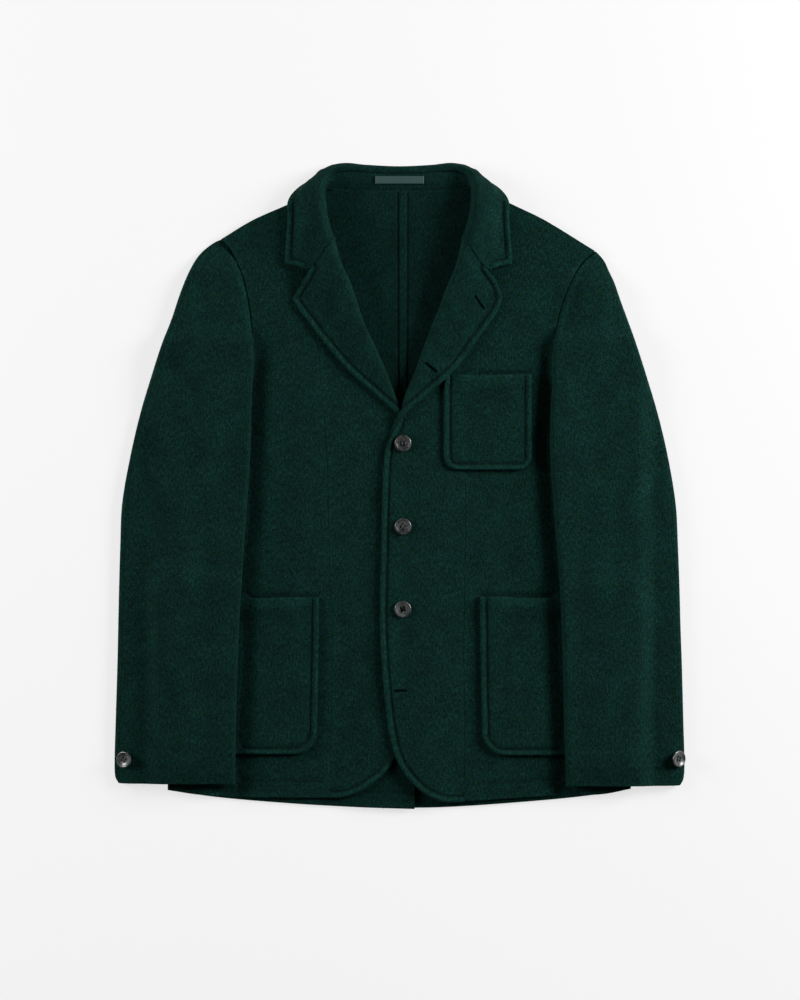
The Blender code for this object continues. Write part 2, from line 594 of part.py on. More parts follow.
def collar_section(row, side):
    """Points across the collar at one station, from the foot of the fold to the outer edge."""
    sign = -1.0 if side == "left" else 1.0
    shift = COLLAR_SHIFT_X[side] * ease(row.crest_x / 60.0)
    tucked = ease((9.0 - row.edge_z) / 6.0)
    under_share = mix(0.5, 0.13, tucked)
    under = (mix(row.mid_x, row.edge_x, under_share), mix(row.mid_y, row.edge_y, under_share),
             mix(row.mid_z, row.edge_z, mix(0.62, 0.96, tucked)))
    through = [(row.roll_x, row.roll_y, row.roll_z), (row.crest_x, row.crest_y, row.crest_z),
               (row.mid_x, row.mid_y, row.mid_z), under, (row.edge_x, row.edge_y, row.edge_z)]
    return [(sign * (x + shift), y, max(z, 0.0)) for x, y, z in spline(through, COLLAR_SHARES)]


def make_collar():
    left = [collar_section(row, "left") for row in COLLAR_ROWS]
    right = [collar_section(row, "right") for row in COLLAR_ROWS[-2::-1]]
    sections = left + right
    count = len(sections[0])
    stations = even(COLLAR_STATIONS)
    columns = [spline([section[index] for section in sections], stations) for index in range(count)]
    grid = [[columns[index][station] for index in range(count)] for station in range(len(stations))]
    edge_line = [line[-1][:2] for line in grid if line[-1][2] > 9.0]
    half = len(edge_line) // 2
    ends = [[place[:2] for place in grid[0][6:]], [place[:2] for place in grid[-1][6:]]]
    low_y, high_y = WELTED_COLLAR_Y

    def relief(x, y):
        if not low_y < y < high_y:
            return 0.0
        near = min(distance_to(edge_line[:half], x, y), distance_to(edge_line[half:], x, y),
                   distance_to(ends[0], x, y), distance_to(ends[1], x, y))
        return welt(near) * ease((high_y - y) / 12.0)
    wall("collar", grid, relief=relief, outward=1.0)


def stand_grid():
    """The stand from the neck seam up to the collar's fold, from one side round to the other."""
    top_rows = COLLAR_ROWS[2:]
    half = []
    for foot, row in zip(STAND_FOOT, top_rows):
        beside = ease((foot.x - 40.0) / 30.0)
        corner = ease((foot.x - 78.0) / 8.0) * ease((foot.y - 316.0) / 12.0)
        foot_z = back_top(foot.x, foot.y) + mix(STAND_RISE, STAND_RISE_SIDE, beside)
        foot_z += STAND_RISE_CORNER * corner
        drop = mix(STAND_PARTING, STAND_PARTING_SIDE, beside)
        top_y = row.roll_y - mix(drop, 0.0, beside) - SEAM_GAP
        top = (row.roll_x + drop * beside / 2, top_y, row.roll_z - drop)
        half.append([tuple(mix(a, b, share) for a, b in zip((foot.x, foot.y, foot_z), top))
                     for share in even(3)])
    left = [[(-x, y, z) for x, y, z in line] for line in half]
    shift = COLLAR_SHIFT_X["right"]
    right = [[(x + shift * ease(x / 60.0), y, z) for x, y, z in line] for line in half[-2::-1]]
    return left + right


def make_stand():
    grid = stand_grid()
    wall("collar_stand", grid, finish="wool_inside", outward=1.0)


def make_label():
    """The bare woven label on the stand, made from the stand's own points, moved out."""
    grid = stand_grid()
    middle = len(grid) // 2
    centre = grid[middle]
    line_low = [mix(centre[0][k], centre[-1][k], LABEL_LOW) for k in range(3)]
    line_high = [mix(centre[0][k], centre[-1][k], LABEL_HIGH) for k in range(3)]
    raised = LAYER_GAP + LABEL_THICK + 0.4
    rows = [[(x, place[1], place[2] + raised) for place in (line_low, line_high)]
            for x in (-LABEL_HALF_WIDTH, 0.0, LABEL_HALF_WIDTH)]
    wall("label", rows, finish="label", outward=1.0, thickness=LABEL_THICK)


# ---- sleeves -------------------------------------------------------------------------------------
def sleeve_floor(x, y):
    """Height of what the sleeve lies on: the body, or the table beside it."""
    on_body = ease((BODY_SIDE_X + SLEEVE_RAMP - abs(x)) / SLEEVE_RAMP)
    below_cap = ease((CAP_END_Y + CAP_BLEND - y) / CAP_BLEND)
    return (body_top(x, y) + LAYER_GAP) * on_body * below_cap


def fold_share(distance, width):
    """How far up the rounded fold the sleeve's face is, at a distance from the edge."""
    side = 1.0 - min(distance / (SLEEVE_FOLD * fold_shrink(width)), 1.0)
    return math.sqrt(max(1.0 - side * side, 0.0))


def fold_shrink(width):
    """Narrow sections near the sleeve head have narrower folds."""
    return min(width / 60.0, 1.0)


def tip_share(side, y):
    """Share of the sleeve's full height and thickness, less at the top of the head."""
    top_y = SLEEVE_ROWS[side][0].y
    return mix(SLEEVE_TIP, 1.0, ease((top_y - y) / SLEEVE_TIP_LENGTH))


def sleeve_point(side, row, distance_in, face):
    """A point of the sleeve's outer face; face is +1 on top and -1 underneath."""
    sign = -1.0 if side == "left" else 1.0
    x = row.inner + distance_in
    y = row.y
    from_outer = row.outer - x
    free = ease((CAP_END_Y + CAP_BLEND - y) / CAP_BLEND)
    floor = sleeve_floor(x, y)
    head = SLEEVE_HEAD * ease((y - 120.0) / 80.0) * ease((290.0 - y) / 40.0)
    height = (SLEEVE_HEIGHT + head) * tip_share(side, y)
    middle = floor + height / 2.0
    width = row.outer - row.inner
    outer_round = fold_share(from_outer, width)
    inner_round = fold_share(distance_in, width)
    if face > 0:
        folded = middle + height / 2.0 * outer_round * inner_round
        rise = 1.0 - (1.0 - min(distance_in / 22.0, 1.0)) ** 2
        seam_level = side_top(sign * x, y)
        sewn = middle + height / 2.0 * outer_round
        sewn = mix(min(seam_level, sewn), sewn, rise)
        z = mix(sewn, folded, free)
    else:
        folded = middle - height / 2.0 * outer_round * inner_round
        sewn = middle - height / 2.0 * outer_round
        z = mix(sewn, folded, free)
    return sign * x, y, z


def armhole_x(side, y):
    """Distance of the armhole's edge from the centre line at height y."""
    edge = spline(OUTER[side], even(120))
    for upper, lower in zip(edge, edge[1:]):
        if upper[1] >= y >= lower[1]:
            share = (upper[1] - y) / max(upper[1] - lower[1], 1e-9)
            return abs(mix(upper[0], lower[0], share))
    return abs(edge[0][0])


def sleeve_steps(row):
    """Distances from the inner edge of the points across one section."""
    width = row.outer - row.inner
    near = [step * fold_shrink(width) for step in FOLD_STEPS]
    edge = [min(place.x - row.inner, width * mix(place.narrow, place.wide, fold_shrink(width)))
            for place in SLEEVE_PLACES]
    inside = [mix(near[-1], edge[0], 0.5)] + edge
    top_fold = [width - step * fold_shrink(width) for step in TOP_FOLD_STEPS]
    edge_fold = [width - step for step in reversed(near)]
    wrap = [width - step * fold_shrink(width) for step in (*FOLD_STEPS[1:4], HIND_SEAM - SEAM_GAP)]
    return near, inside, top_fold, edge_fold, wrap


def make_sleeve(side):
    sign = -1.0 if side == "left" else 1.0
    upper_grid = []
    under_grid = []
    for row in SLEEVE_ROWS[side]:
        if row.y > CAP_END_Y:
            parting = ARMHOLE_GAP + ARMHOLE_TIP_GAP * ease((row.y - 225.0) / 40.0)
            row = SleeveRow(row.y, armhole_x(side, row.y) + parting, row.outer)
        near, inside, top_fold, edge_fold, wrap = sleeve_steps(row)
        upper = [sleeve_point(side, row, step, 1) for step in near + inside + top_fold]
        under = [sleeve_point(side, row, step, -1) for step in near + inside + edge_fold]
        under += [sleeve_point(side, row, step, 1) for step in wrap]
        upper[0] = (upper[0][0], upper[0][1], upper[0][2] + SEAM_GAP / 2)
        under[0] = (under[0][0], under[0][1], under[0][2] - SEAM_GAP / 2)
        upper_grid.append([under[1]] + upper + [under[-2]])
        under_grid.append([upper[1]] + under + [upper[-2]])

    def thins(y):
        return tip_share(side, y) * mix(1.0, SLEEVE_CAP_THIN, ease((y - CAP_END_Y) / CAP_BLEND))
    wall("sleeve_upper_" + side, upper_grid, outward=sign, thickness=SLEEVE_CLOTH, thins=thins, guides=True)
    wall("sleeve_under_" + side, under_grid, outward=-sign, thickness=SLEEVE_CLOTH, thins=thins, guides=True)


# ---- pockets -------------------------------------------------------------------------------------
def pocket_outline(pocket):
    """Left side, right side and bottom of a patch pocket with rounded lower corners."""
    radius = pocket.corner
    arc = radius * (1.0 - math.sqrt(0.5))
    half = pocket.taper / 2.0
    low_left = pocket.left + half
    low_right = pocket.right - half
    left = [(pocket.left, pocket.top),
            (mix(pocket.left, low_left, 0.6), mix(pocket.top, pocket.bottom, 0.6)),
            (low_left, pocket.bottom + radius * 1.4),
            (low_left + radius * 0.01, pocket.bottom + radius * 0.9),
            (low_left + radius * 0.08, pocket.bottom + radius * 0.62),
            (low_left + arc, pocket.bottom + arc)]
    right = [(pocket.left + pocket.right - x, y) for x, y in left]
    bottom = [left[-1],
              (low_left + radius * 0.62, pocket.bottom + radius * 0.08),
              (low_left + radius * 0.9, pocket.bottom + radius * 0.01),
              (low_left + radius * 1.4, pocket.bottom),
              (low_right - radius * 1.4, pocket.bottom),
              (low_right - radius * 0.9, pocket.bottom + radius * 0.01),
              (low_right - radius * 0.62, pocket.bottom + radius * 0.08), right[-1]]
    return left, right, bottom


def make_pocket(name, pocket):
    left, right, bottom = pocket_outline(pocket)
    top = [left[0], right[0]]
    height = pocket.top - pocket.bottom
    near_bottom = [1.0 - step / height for step in reversed(WELT_STEPS)]
    rows = [mix(0.0, near_bottom[0], share) for share in even(6)][:-1] + near_bottom
    grid = patch(left, right, top, bottom, welted(4, True, True), rows)
    outline = spline(left, even(20)) + spline(bottom, even(24)) + spline(right, even(20))[::-1]

    def relief(x, y):
        return welt(distance_to(outline, x, y))

    def top_face(x, y):
        base = upper_front_top(x, y) if name == "pocket_breast" else side_top(x, y)
        return base + LIFT
    wall(name, lay(grid, top_face), relief=relief, outward=1.0)


# ---- buttons -------------------------------------------------------------------------------------
def make_button(name, centre, tilt):
    """A turned button: a raised rim round a shallow dish, with four holes right through."""
    profile = [(0.0, 0.0), (BUTTON_RADIUS - 1.4, 0.0), (BUTTON_RADIUS, BUTTON_THICK * 0.45),
               (BUTTON_RADIUS - 0.9, BUTTON_THICK), (BUTTON_RADIUS - BUTTON_RIM, BUTTON_THICK - BUTTON_DISH),
               (0.0, BUTTON_THICK - BUTTON_DISH)]
    builder = bmesh.new()
    verts = [builder.verts.new((r * METRES_PER_MM, 0.0, z * METRES_PER_MM)) for r, z in reversed(profile)]
    edges = [builder.edges.new(pair) for pair in zip(verts, verts[1:])]
    bmesh.ops.spin(builder, geom=verts + edges, cent=(0, 0, 0), axis=(0, 0, 1), angle=2 * math.pi,
                   steps=BUTTON_SIDES, use_merge=True)
    bmesh.ops.remove_doubles(builder, verts=builder.verts[:], dist=1e-6)
    bmesh.ops.recalc_face_normals(builder, faces=builder.faces[:])
    mesh = bpy.data.meshes.new(name)
    builder.to_mesh(mesh)
    builder.free()
    mesh.shade_smooth()
    mesh.set_sharp_from_angle(angle=math.radians(40.0))
    button = add_object(name, mesh, "horn")
    turn = Matrix.Rotation(math.radians(tilt), 4, "Y")
    button.matrix_world = Matrix.Translation(Vector(centre) * METRES_PER_MM) @ turn
    cut = button.modifiers.new("holes", "BOOLEAN")
    cut.operation = "DIFFERENCE"
    cut.object = hole_cutter(name, button.matrix_world)
    return button


def hole_cutter(name, place):
    """Four small drills in one cutter."""
    builder = bmesh.new()
    radius = BUTTON_HOLE_RADIUS * METRES_PER_MM
    depth = 3 * BUTTON_THICK * METRES_PER_MM
    for side_x in (-1.0, 1.0):
        for side_y in (-1.0, 1.0):
            spot = Vector((side_x * BUTTON_HOLE_OFFSET, side_y * BUTTON_HOLE_OFFSET, BUTTON_THICK / 2))
            bmesh.ops.create_cone(builder, cap_ends=True, segments=HOLE_SIDES, radius1=radius, radius2=radius,
                                  depth=depth, matrix=Matrix.Translation(spot * METRES_PER_MM))
    mesh = bpy.data.meshes.new(name + "_holes")
    builder.to_mesh(mesh)
    builder.free()
    cutter = bpy.data.objects.new(name + "_holes", mesh)
    cutter.matrix_world = place
    cutter.hide_render = True
    cutter.display_type = "WIRE"
    cutters.objects.link(cutter)
    return cutter


def make_buttons():
    for number, button in enumerate(FRONT_BUTTONS, 1):
        z = upper_front_top(button.x, button.y) + LAYER_GAP
        make_button("button_front_%d" % number, (button.x, button.y, z), button.tilt)
    for side, button in CUFF_BUTTONS.items():
        sleeve_rows = SLEEVE_ROWS[side]
        row = SleeveRow(button.y, table_value(sleeve_rows, "inner", button.y),
                        table_value(sleeve_rows, "outer", button.y))
        surface = sleeve_point(side, row, abs(button.x) - row.inner, 1)
        place = (button.x, button.y, surface[2] + CUFF_BUTTON_RISE[side])
        make_button("button_cuff_" + side, place, button.tilt)


# ---- the coat ------------------------------------------------------------------------------------
for old in list(bpy.data.objects):
    bpy.data.objects.remove(old, do_unlink=True)
coat = bpy.data.collections.new("sport_coat")
cutters = bpy.data.collections.new("cutters")
bpy.context.scene.collection.children.link(coat)
bpy.context.scene.collection.children.link(cutters)

for coat_side in ("left", "right"):
    make_back(coat_side)
    make_side(coat_side)
    make_front(coat_side)
    make_lapel(coat_side)
    make_sleeve(coat_side)
make_collar()
make_stand()
make_label()
for pocket_name, pocket_size in POCKETS.items():
    make_pocket(pocket_name, pocket_size)
make_buttons()
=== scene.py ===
import json
import math
import bpy
import bmesh
import numpy as np
from mathutils import Matrix, Vector
from mathutils.bvhtree import BVHTree

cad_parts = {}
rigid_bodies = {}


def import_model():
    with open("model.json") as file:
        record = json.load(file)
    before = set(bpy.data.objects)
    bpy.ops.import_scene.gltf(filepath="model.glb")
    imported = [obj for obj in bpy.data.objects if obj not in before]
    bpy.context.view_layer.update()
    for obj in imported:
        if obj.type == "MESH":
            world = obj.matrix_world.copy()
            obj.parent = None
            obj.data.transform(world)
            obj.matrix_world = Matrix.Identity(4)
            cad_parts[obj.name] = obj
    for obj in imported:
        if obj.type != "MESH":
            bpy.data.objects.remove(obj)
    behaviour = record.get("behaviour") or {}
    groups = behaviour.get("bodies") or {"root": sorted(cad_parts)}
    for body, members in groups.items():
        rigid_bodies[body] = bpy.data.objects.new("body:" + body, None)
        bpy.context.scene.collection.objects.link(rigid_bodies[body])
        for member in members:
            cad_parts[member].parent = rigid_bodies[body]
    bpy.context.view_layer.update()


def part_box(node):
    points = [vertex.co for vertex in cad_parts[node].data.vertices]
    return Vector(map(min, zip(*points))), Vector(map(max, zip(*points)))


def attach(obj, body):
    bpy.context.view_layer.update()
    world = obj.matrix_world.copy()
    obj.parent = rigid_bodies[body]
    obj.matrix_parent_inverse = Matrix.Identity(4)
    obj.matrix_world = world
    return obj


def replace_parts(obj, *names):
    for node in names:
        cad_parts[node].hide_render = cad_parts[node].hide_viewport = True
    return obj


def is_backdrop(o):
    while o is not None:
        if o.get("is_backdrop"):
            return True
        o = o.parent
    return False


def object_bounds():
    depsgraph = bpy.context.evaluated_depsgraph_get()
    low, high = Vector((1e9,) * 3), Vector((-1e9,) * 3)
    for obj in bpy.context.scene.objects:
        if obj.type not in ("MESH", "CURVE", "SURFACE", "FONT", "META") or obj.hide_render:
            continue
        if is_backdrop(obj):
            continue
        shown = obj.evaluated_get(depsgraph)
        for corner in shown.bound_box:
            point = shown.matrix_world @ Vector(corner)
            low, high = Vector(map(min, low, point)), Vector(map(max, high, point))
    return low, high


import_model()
mm = 0.001  # every size below is in millimetres

# the cloth's layers, as they lie on each other
cloth = {"thick": 3.2, "lapel": 2.8, "sleeve": 2.6, "gap": 0.5, "seam": 0.3, "sewn": 0.12,
         "lowestOuter": 0.15, "lowestInner": 0.05, "flatUpTo": 14.0}
lift = cloth["thick"] + cloth["gap"]
welt = {"width": 7.2, "height": 1.1, "puffed": 1.45, "start": 0.16, "groove": 1.0, "grooveIn": 0.4,
        "grooveHalf": 1.25}
overlap = {"edge": 30.0, "top": 88.0, "ramp": 42.0, "rampDown": 72.0}
vent = {"top": -195.0, "edge": 17.4, "under": -20.0, "ramp": 60.0, "waist": 14.0}
fall = {"halfWidth": 120.0, "reach": 316.0, "ramp": 78.0}
centreSeam = 4.1


def ease(value):
    value = np.clip(value, 0.0, 1.0)
    return value * value * (3.0 - 2.0 * value)


def mix(start, end, share):
    return start + (end - start) * share


def bell(value, centre, half):
    return np.exp(-((value - centre) / half) ** 2)


def hill(x, y, centreX, halfX, centreY, halfY):
    return np.exp(-((x - centreX) / halfX) ** 2 - ((y - centreY) / halfY) ** 2)


def smoothLine(rows, steps=10):
    # a smooth line through the rows of a table, slopes weighed by their spacing
    rows = [np.array(row, float) for row in rows]
    fine = []
    for index in range(len(rows) - 1):
        before, start = rows[max(index - 1, 0)], rows[index]
        end, after = rows[index + 1], rows[min(index + 2, len(rows) - 1)]
        span = max(np.linalg.norm(end - start), 1e-6)
        slopeIn = (end - before) * span / (np.linalg.norm(start - before) + span)
        slopeOut = (after - start) * span / (span + np.linalg.norm(after - end))
        for step in range(steps):
            s = step / steps
            fine.append((2 * s**3 - 3 * s**2 + 1) * start + (s**3 - 2 * s**2 + s) * slopeIn
                        + (3 * s**2 - 2 * s**3) * end + (s**3 - s**2) * slopeOut)
    fine.append(rows[-1])
    return np.array(fine)


def pointsAt(line, shares):
    # points at shares of a line's length, in an array of the same shape
    reach = np.concatenate([[0.0], np.cumsum(np.linalg.norm(np.diff(line, axis=0), axis=1))])
    where = np.asarray(shares, float) * reach[-1]
    return np.stack([np.interp(where, reach, line[:, k]) for k in range(line.shape[1])], axis=-1)


def lineLength(line):
    return float(np.linalg.norm(np.diff(line, axis=0), axis=1).sum())


def spacedShares(length, pitch, startFine, endFine):
    # shares along a length: fine steps near an edge, even ones between
    start = [step / length for step in startFine]
    end = [1.0 - step / length for step in reversed(endFine)]
    count = max(int(round((end[0] - start[-1]) * length / pitch)), 1)
    return np.array(start + [mix(start[-1], end[0], (i + 1) / count) for i in range(count - 1)] + end)


def patchGrid(outer, inner, top, bottom, columns, rows):
    # plan points between four edges; columns holds a share for each row and column
    left, right = pointsAt(outer, rows)[:, None], pointsAt(inner, rows)[:, None]
    high, low = pointsAt(top, columns), pointsAt(bottom, columns)
    u, v = columns[:, :, None], np.asarray(rows)[:, None, None]
    corner = mix(mix(top[0], top[-1], u), mix(bottom[0], bottom[-1], u), v)
    return mix(left, right, u) + mix(high, low, v) - corner


def columnShares(outer, inner, rows, pitch, startFine, endFine):
    # fine steps keep their real width where the panel is wide enough for them
    widths = np.linalg.norm(pointsAt(outer, rows) - pointsAt(inner, rows), axis=1)
    widest = widths.max()
    pattern = spacedShares(widest, pitch, startFine, endFine)
    fineShare = max(pattern[len(startFine) - 1], 1.0 - pattern[-len(endFine)], 1e-6)
    mostOfRow = 0.42
    result = []
    for width in widths:
        grown = max(min(widest / max(width, 1.0), mostOfRow / fineShare), 1.0)
        start = pattern[:len(startFine)] * grown
        end = 1.0 - (1.0 - pattern[-len(endFine):]) * grown
        middle = pattern[len(startFine) - 1:len(pattern) - len(endFine) + 1]
        middle = (middle - middle[0]) / (middle[-1] - middle[0])
        result.append(np.concatenate([start[:-1], mix(start[-1], end[0], middle), end[1:]]))
    return np.array(result)


def distanceTo(line, x, y):
    # distance from plan points to a line
    best = np.full(np.shape(x), 1e9)
    for start, end in zip(line[:-1], line[1:]):
        runX, runY = end[0] - start[0], end[1] - start[1]
        reach = max(runX * runX + runY * runY, 1e-9)
        share = np.clip(((x - start[0]) * runX + (y - start[1]) * runY) / reach, 0, 1)
        best = np.minimum(best, np.hypot(x - start[0] - share * runX, y - start[1] - share * runY))
    return best


def weltHeight(distance):
    # the raised edge and the stitched groove inside it
    raised = welt["puffed"] * np.sin(np.pi * np.minimum(distance / welt["width"] + welt["start"], 1.0))
    groove = -welt["groove"] * bell(distance - welt["width"], welt["grooveIn"], welt["grooveHalf"])
    return np.where(distance < welt["width"], raised, 0.0) + groove


def roundEdge(distance, radius):
    # how far a cut edge is rounded down
    inside = np.clip(radius - distance, 0.0, radius)
    return np.sqrt(np.maximum(radius * radius - inside * inside, 0.0)) - radius


def noiseField(x, y, wavelength, seed):
    # slow unevenness: a few sine waves in turned directions, fixed by the seed
    draw = np.random.default_rng(seed)
    waves = 7
    total = np.zeros(np.shape(x))
    for _ in range(waves):
        angle, phase = draw.uniform(0, 2 * math.pi, 2)
        stretch = draw.uniform(0.7, 1.5)
        run = x * math.cos(angle) + y * math.sin(angle)
        total = total + np.sin(run * 2 * math.pi / (wavelength * stretch) + phase)
    return total / waves


def creaseHeight(creases, x, y):
    # soft ridges and troughs; each row: x, y, direction in degrees, half length, half width, height, bow
    total = np.zeros(np.shape(x))
    for cx, cy, turn, halfLength, halfWidth, height, bow in creases:
        c, s = math.cos(math.radians(turn)), math.sin(math.radians(turn))
        run = ((x - cx) * c + (y - cy) * s) / halfLength
        across = (-(x - cx) * s + (y - cy) * c - bow * run * run) / halfWidth
        swell = 1.0 + 0.25 * np.sin(3.1 * run + cx)
        total = total + height * np.exp(-across * across) * np.exp(-run ** 4) * swell
    return total


def neckLift(x, y):
    # the back rises over the collar's fall
    beside = ease((fall["halfWidth"] + fall["ramp"] - np.abs(x)) / fall["ramp"])
    return lift * beside * ease((y - fall["reach"] + fall["ramp"]) / fall["ramp"])


def ventLift(x, y):
    # the upper vent flap rises over the lower one
    beside = ease((x - vent["under"] + 4.0 + vent["ramp"]) / vent["ramp"])
    beside = beside * ease((vent["edge"] + 4.0 + vent["ramp"] - x) / vent["ramp"])
    return lift * beside * ease((vent["top"] + 2.0 * vent["ramp"] - y) / (2.0 * vent["ramp"]))


def puff(x, y):
    # air under the fronts at the chest and the skirt
    chest = hill(np.abs(x), y, 125.0, 60.0, 150.0, 90.0)
    skirt = hill(np.abs(x), y, 150.0, 70.0, -215.0, 80.0)
    return 2.4 * chest + 1.0 * skirt


def backTop(x, y):
    return cloth["thick"] + neckLift(x, y) + ventLift(x, y)


def sideTop(x, y):
    return backTop(x, y) + lift + puff(x, y)


def upperFrontTop(x, y):
    over = ease((overlap["edge"] + 4.0 + overlap["ramp"] - x) / overlap["ramp"])
    below = ease((overlap["top"] + overlap["rampDown"] - y) / overlap["rampDown"])
    return sideTop(x, y) + lift * over * below


def bodyTop(x, y):
    # the top of the body and the lower pockets, where a sleeve lies on it
    onPocket = ease((y + 352.0) / 28.0) * ease((-80.0 - y) / 36.0) * ease((300.0 - np.abs(x)) / 38.0)
    return sideTop(x, y) + (lift + welt["height"]) * onPocket


def lay(plan, height):
    return np.dstack([plan, height(plan[..., 0], plan[..., 1])])


def unit(vectors):
    return vectors / np.maximum(np.linalg.norm(vectors, axis=-1, keepdims=True), 1e-9)


def gridNormals(grid):
    # unit normals, halfway between the segments on each side
    down = unit(np.diff(grid, axis=0))
    across = unit(np.diff(grid, axis=1))
    down = np.concatenate([down[:1], down[:-1] + down[1:], down[-1:]])
    across = np.concatenate([across[:, :1], across[:, :-1] + across[:, 1:], across[:, -1:]], axis=1)
    return unit(np.cross(down, across))


def arcField(grid):
    # cloth coordinates: lengths along the rows, measured from the middle column, and down the columns
    across = np.linalg.norm(np.diff(grid, axis=1), axis=2)
    across = np.concatenate([np.zeros((len(grid), 1)), np.cumsum(across, axis=1)], axis=1)
    down = np.linalg.norm(np.diff(grid, axis=0), axis=2)
    down = np.concatenate([np.zeros((1, grid.shape[1])), np.cumsum(down, axis=0)])
    return across - across[:, grid.shape[1] // 2][:, None], -down


pieces = {}  # each cloth piece's object, its outer points and its tree for laying stitches on it


def softened(field, reach):
    # each value's mean over its neighbours in the grid
    window = 2 * reach + 1
    for axis in (0, 1):
        padded = np.pad(field, [(reach, reach) if axis == side else (0, 0) for side in (0, 1)], mode="edge")
        sums = np.cumsum(np.insert(padded, 0, 0.0, axis=axis), axis=axis)
        length = field.shape[axis]
        field = np.take(sums, range(window, window + length), axis) - np.take(sums, range(length), axis)
        field = field / window
    return field


def addObject(name, data):
    made = bpy.data.objects.new(name, data)
    bpy.context.scene.collection.objects.link(made)
    return made


def addPiece(name, mesh):
    # an object that belongs to the coat
    made = addObject(name, mesh)
    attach(made, "root")
    return made


def pointValues(mesh, name, values):
    # a value for each point of the outer face, and nothing on the inner one
    layer = mesh.attributes.new(name, "FLOAT", "POINT")
    both = np.concatenate([values.ravel(), np.zeros(values.size)])
    layer.data.foreach_set("value", both.astype(np.float32))


def clothPiece(name, grid, relief, thick, outward, finish, node, cut, restsOn, fuzz, guides=False, thin=None,
               turnWeave=False):
    # a cloth wall with its outer face on the grid, raised by the relief
    normals = gridNormals(grid) * outward
    if guides:
        normals, grid = normals[:, 1:-1], grid[:, 1:-1]
    depth = thick if thin is None else (thick * thin)[..., None]
    outer = grid + normals * relief[..., None]
    inner = grid - normals * depth
    outer[..., 2] = np.maximum(outer[..., 2], cloth["lowestOuter"])
    inner[..., 2] = np.maximum(inner[..., 2], cloth["lowestInner"])
    rows, columns = grid.shape[:2]
    count = rows * columns
    number = np.arange(count).reshape(rows, columns)
    corners = [number[:-1, :-1], number[1:, :-1], number[1:, 1:], number[:-1, 1:]]
    faces = np.stack(corners, axis=-1).reshape(-1, 4)
    back = faces[:, ::-1] + count
    ring = np.concatenate([number[0, :], number[1:, -1], number[-1, -2::-1], number[-2:0:-1, 0]])
    after = np.roll(ring, -1)
    rim = np.stack([ring, after, after + count, ring + count], axis=-1)
    faces = np.concatenate([faces, back, rim])
    if outward < 0:
        faces = faces[:, ::-1]
    mesh = bpy.data.meshes.new(name)
    points = np.concatenate([outer.reshape(-1, 3), inner.reshape(-1, 3)]) * mm
    mesh.from_pydata(points.tolist(), [], faces.tolist())
    u, v = arcField(grid)
    if turnWeave:
        u, v = v, u
    elif np.ptp(grid[..., 2]) < cloth["flatUpTo"]:
        u, v = grid[..., 0], grid[..., 1]
    flatUv = np.tile(np.stack([u, v], axis=-1).reshape(-1, 2), (2, 1)) * mm
    order = np.zeros(len(mesh.loops), np.int32)
    mesh.loops.foreach_get("vertex_index", order)
    layer = mesh.uv_layers.new(name="cloth")
    layer.data.foreach_set("uv", flatUv[order].astype(np.float32).ravel())
    pointValues(mesh, "fuzz", fuzz)
    # painted shade in seams and grooves and painted highlight on raised edges: a value that is high where the
    # relief sinks below its surroundings and low where it rises
    pointValues(mesh, "paintedShadeHollow", np.clip(softened(relief, 6) - relief, -1.0, 1.0))
    mesh.materials.append(finish)
    mesh.shade_smooth()
    mesh.set_sharp_from_angle(angle=math.radians(72.0))
    piece = addPiece(name, mesh)
    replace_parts(piece, node)
    pieces[name] = {"object": piece, "outer": outer, "cut": cut, "restsOn": restsOn,
                    "tree": BVHTree.FromPolygons(points.tolist(), faces.tolist())}


def sparse(line, count=120):
    # a line with fewer points, quick to measure from
    return pointsAt(line, np.linspace(0.0, 1.0, count))


seamFine = (0.0, 0.5, 1.1, 2.0, 3.4)
edgeFine = (0.0, 0.35, 0.9, 1.7, 2.8, 4.2, 5.4, 6.4, 7.2, 8.0, 9.0, 10.4)
bandFine = (0.0, 1.4, 2.6, 3.6, 4.4, 5.2, 6.0, 7.0)
unevenness = {"felt": 0.22, "feltWave": 16.0, "slow": 0.5, "slowWave": 95.0}


def surface(x, y, seed, creases=(), slow=1.0):
    # the cloth's own unevenness with its creases
    total = unevenness["felt"] * noiseField(x, y, unevenness["feltWave"], seed)
    total = total + slow * unevenness["slow"] * noiseField(x, y, unevenness["slowWave"], seed + 50)
    return total + creaseHeight(creases, x, y)


def hairiness(distance, inner=1.0, edge=7.0, width=1.6):
    return inner + edge * bell(distance, 0.0, width)


def leftRight(side):
    return -1.0 if side == "left" else 1.0


print("layers and helpers ready")


def addNode(tree, kind, inputs=None, **settings):
    # a node with its settings and the values of its inputs
    made = tree.nodes.new(kind)
    for name, value in settings.items():
        setattr(made, name, value)
    for name, value in (inputs or {}).items():
        made.inputs[name].default_value = value
    return made


def wire(tree, *pairs):
    for output, entry in pairs:
        tree.links.new(output, entry)


def addSockets(tree, inputs, outputs):
    # the tree's own sockets, as names with the kind of each
    for way, sockets in (("INPUT", inputs), ("OUTPUT", outputs)):
        for name, kind in sockets.items():
            tree.interface.new_socket(name=name, in_out=way, socket_type="NodeSocket" + kind)
    return tree.nodes.new("NodeGroupInput").outputs, tree.nodes.new("NodeGroupOutput").inputs


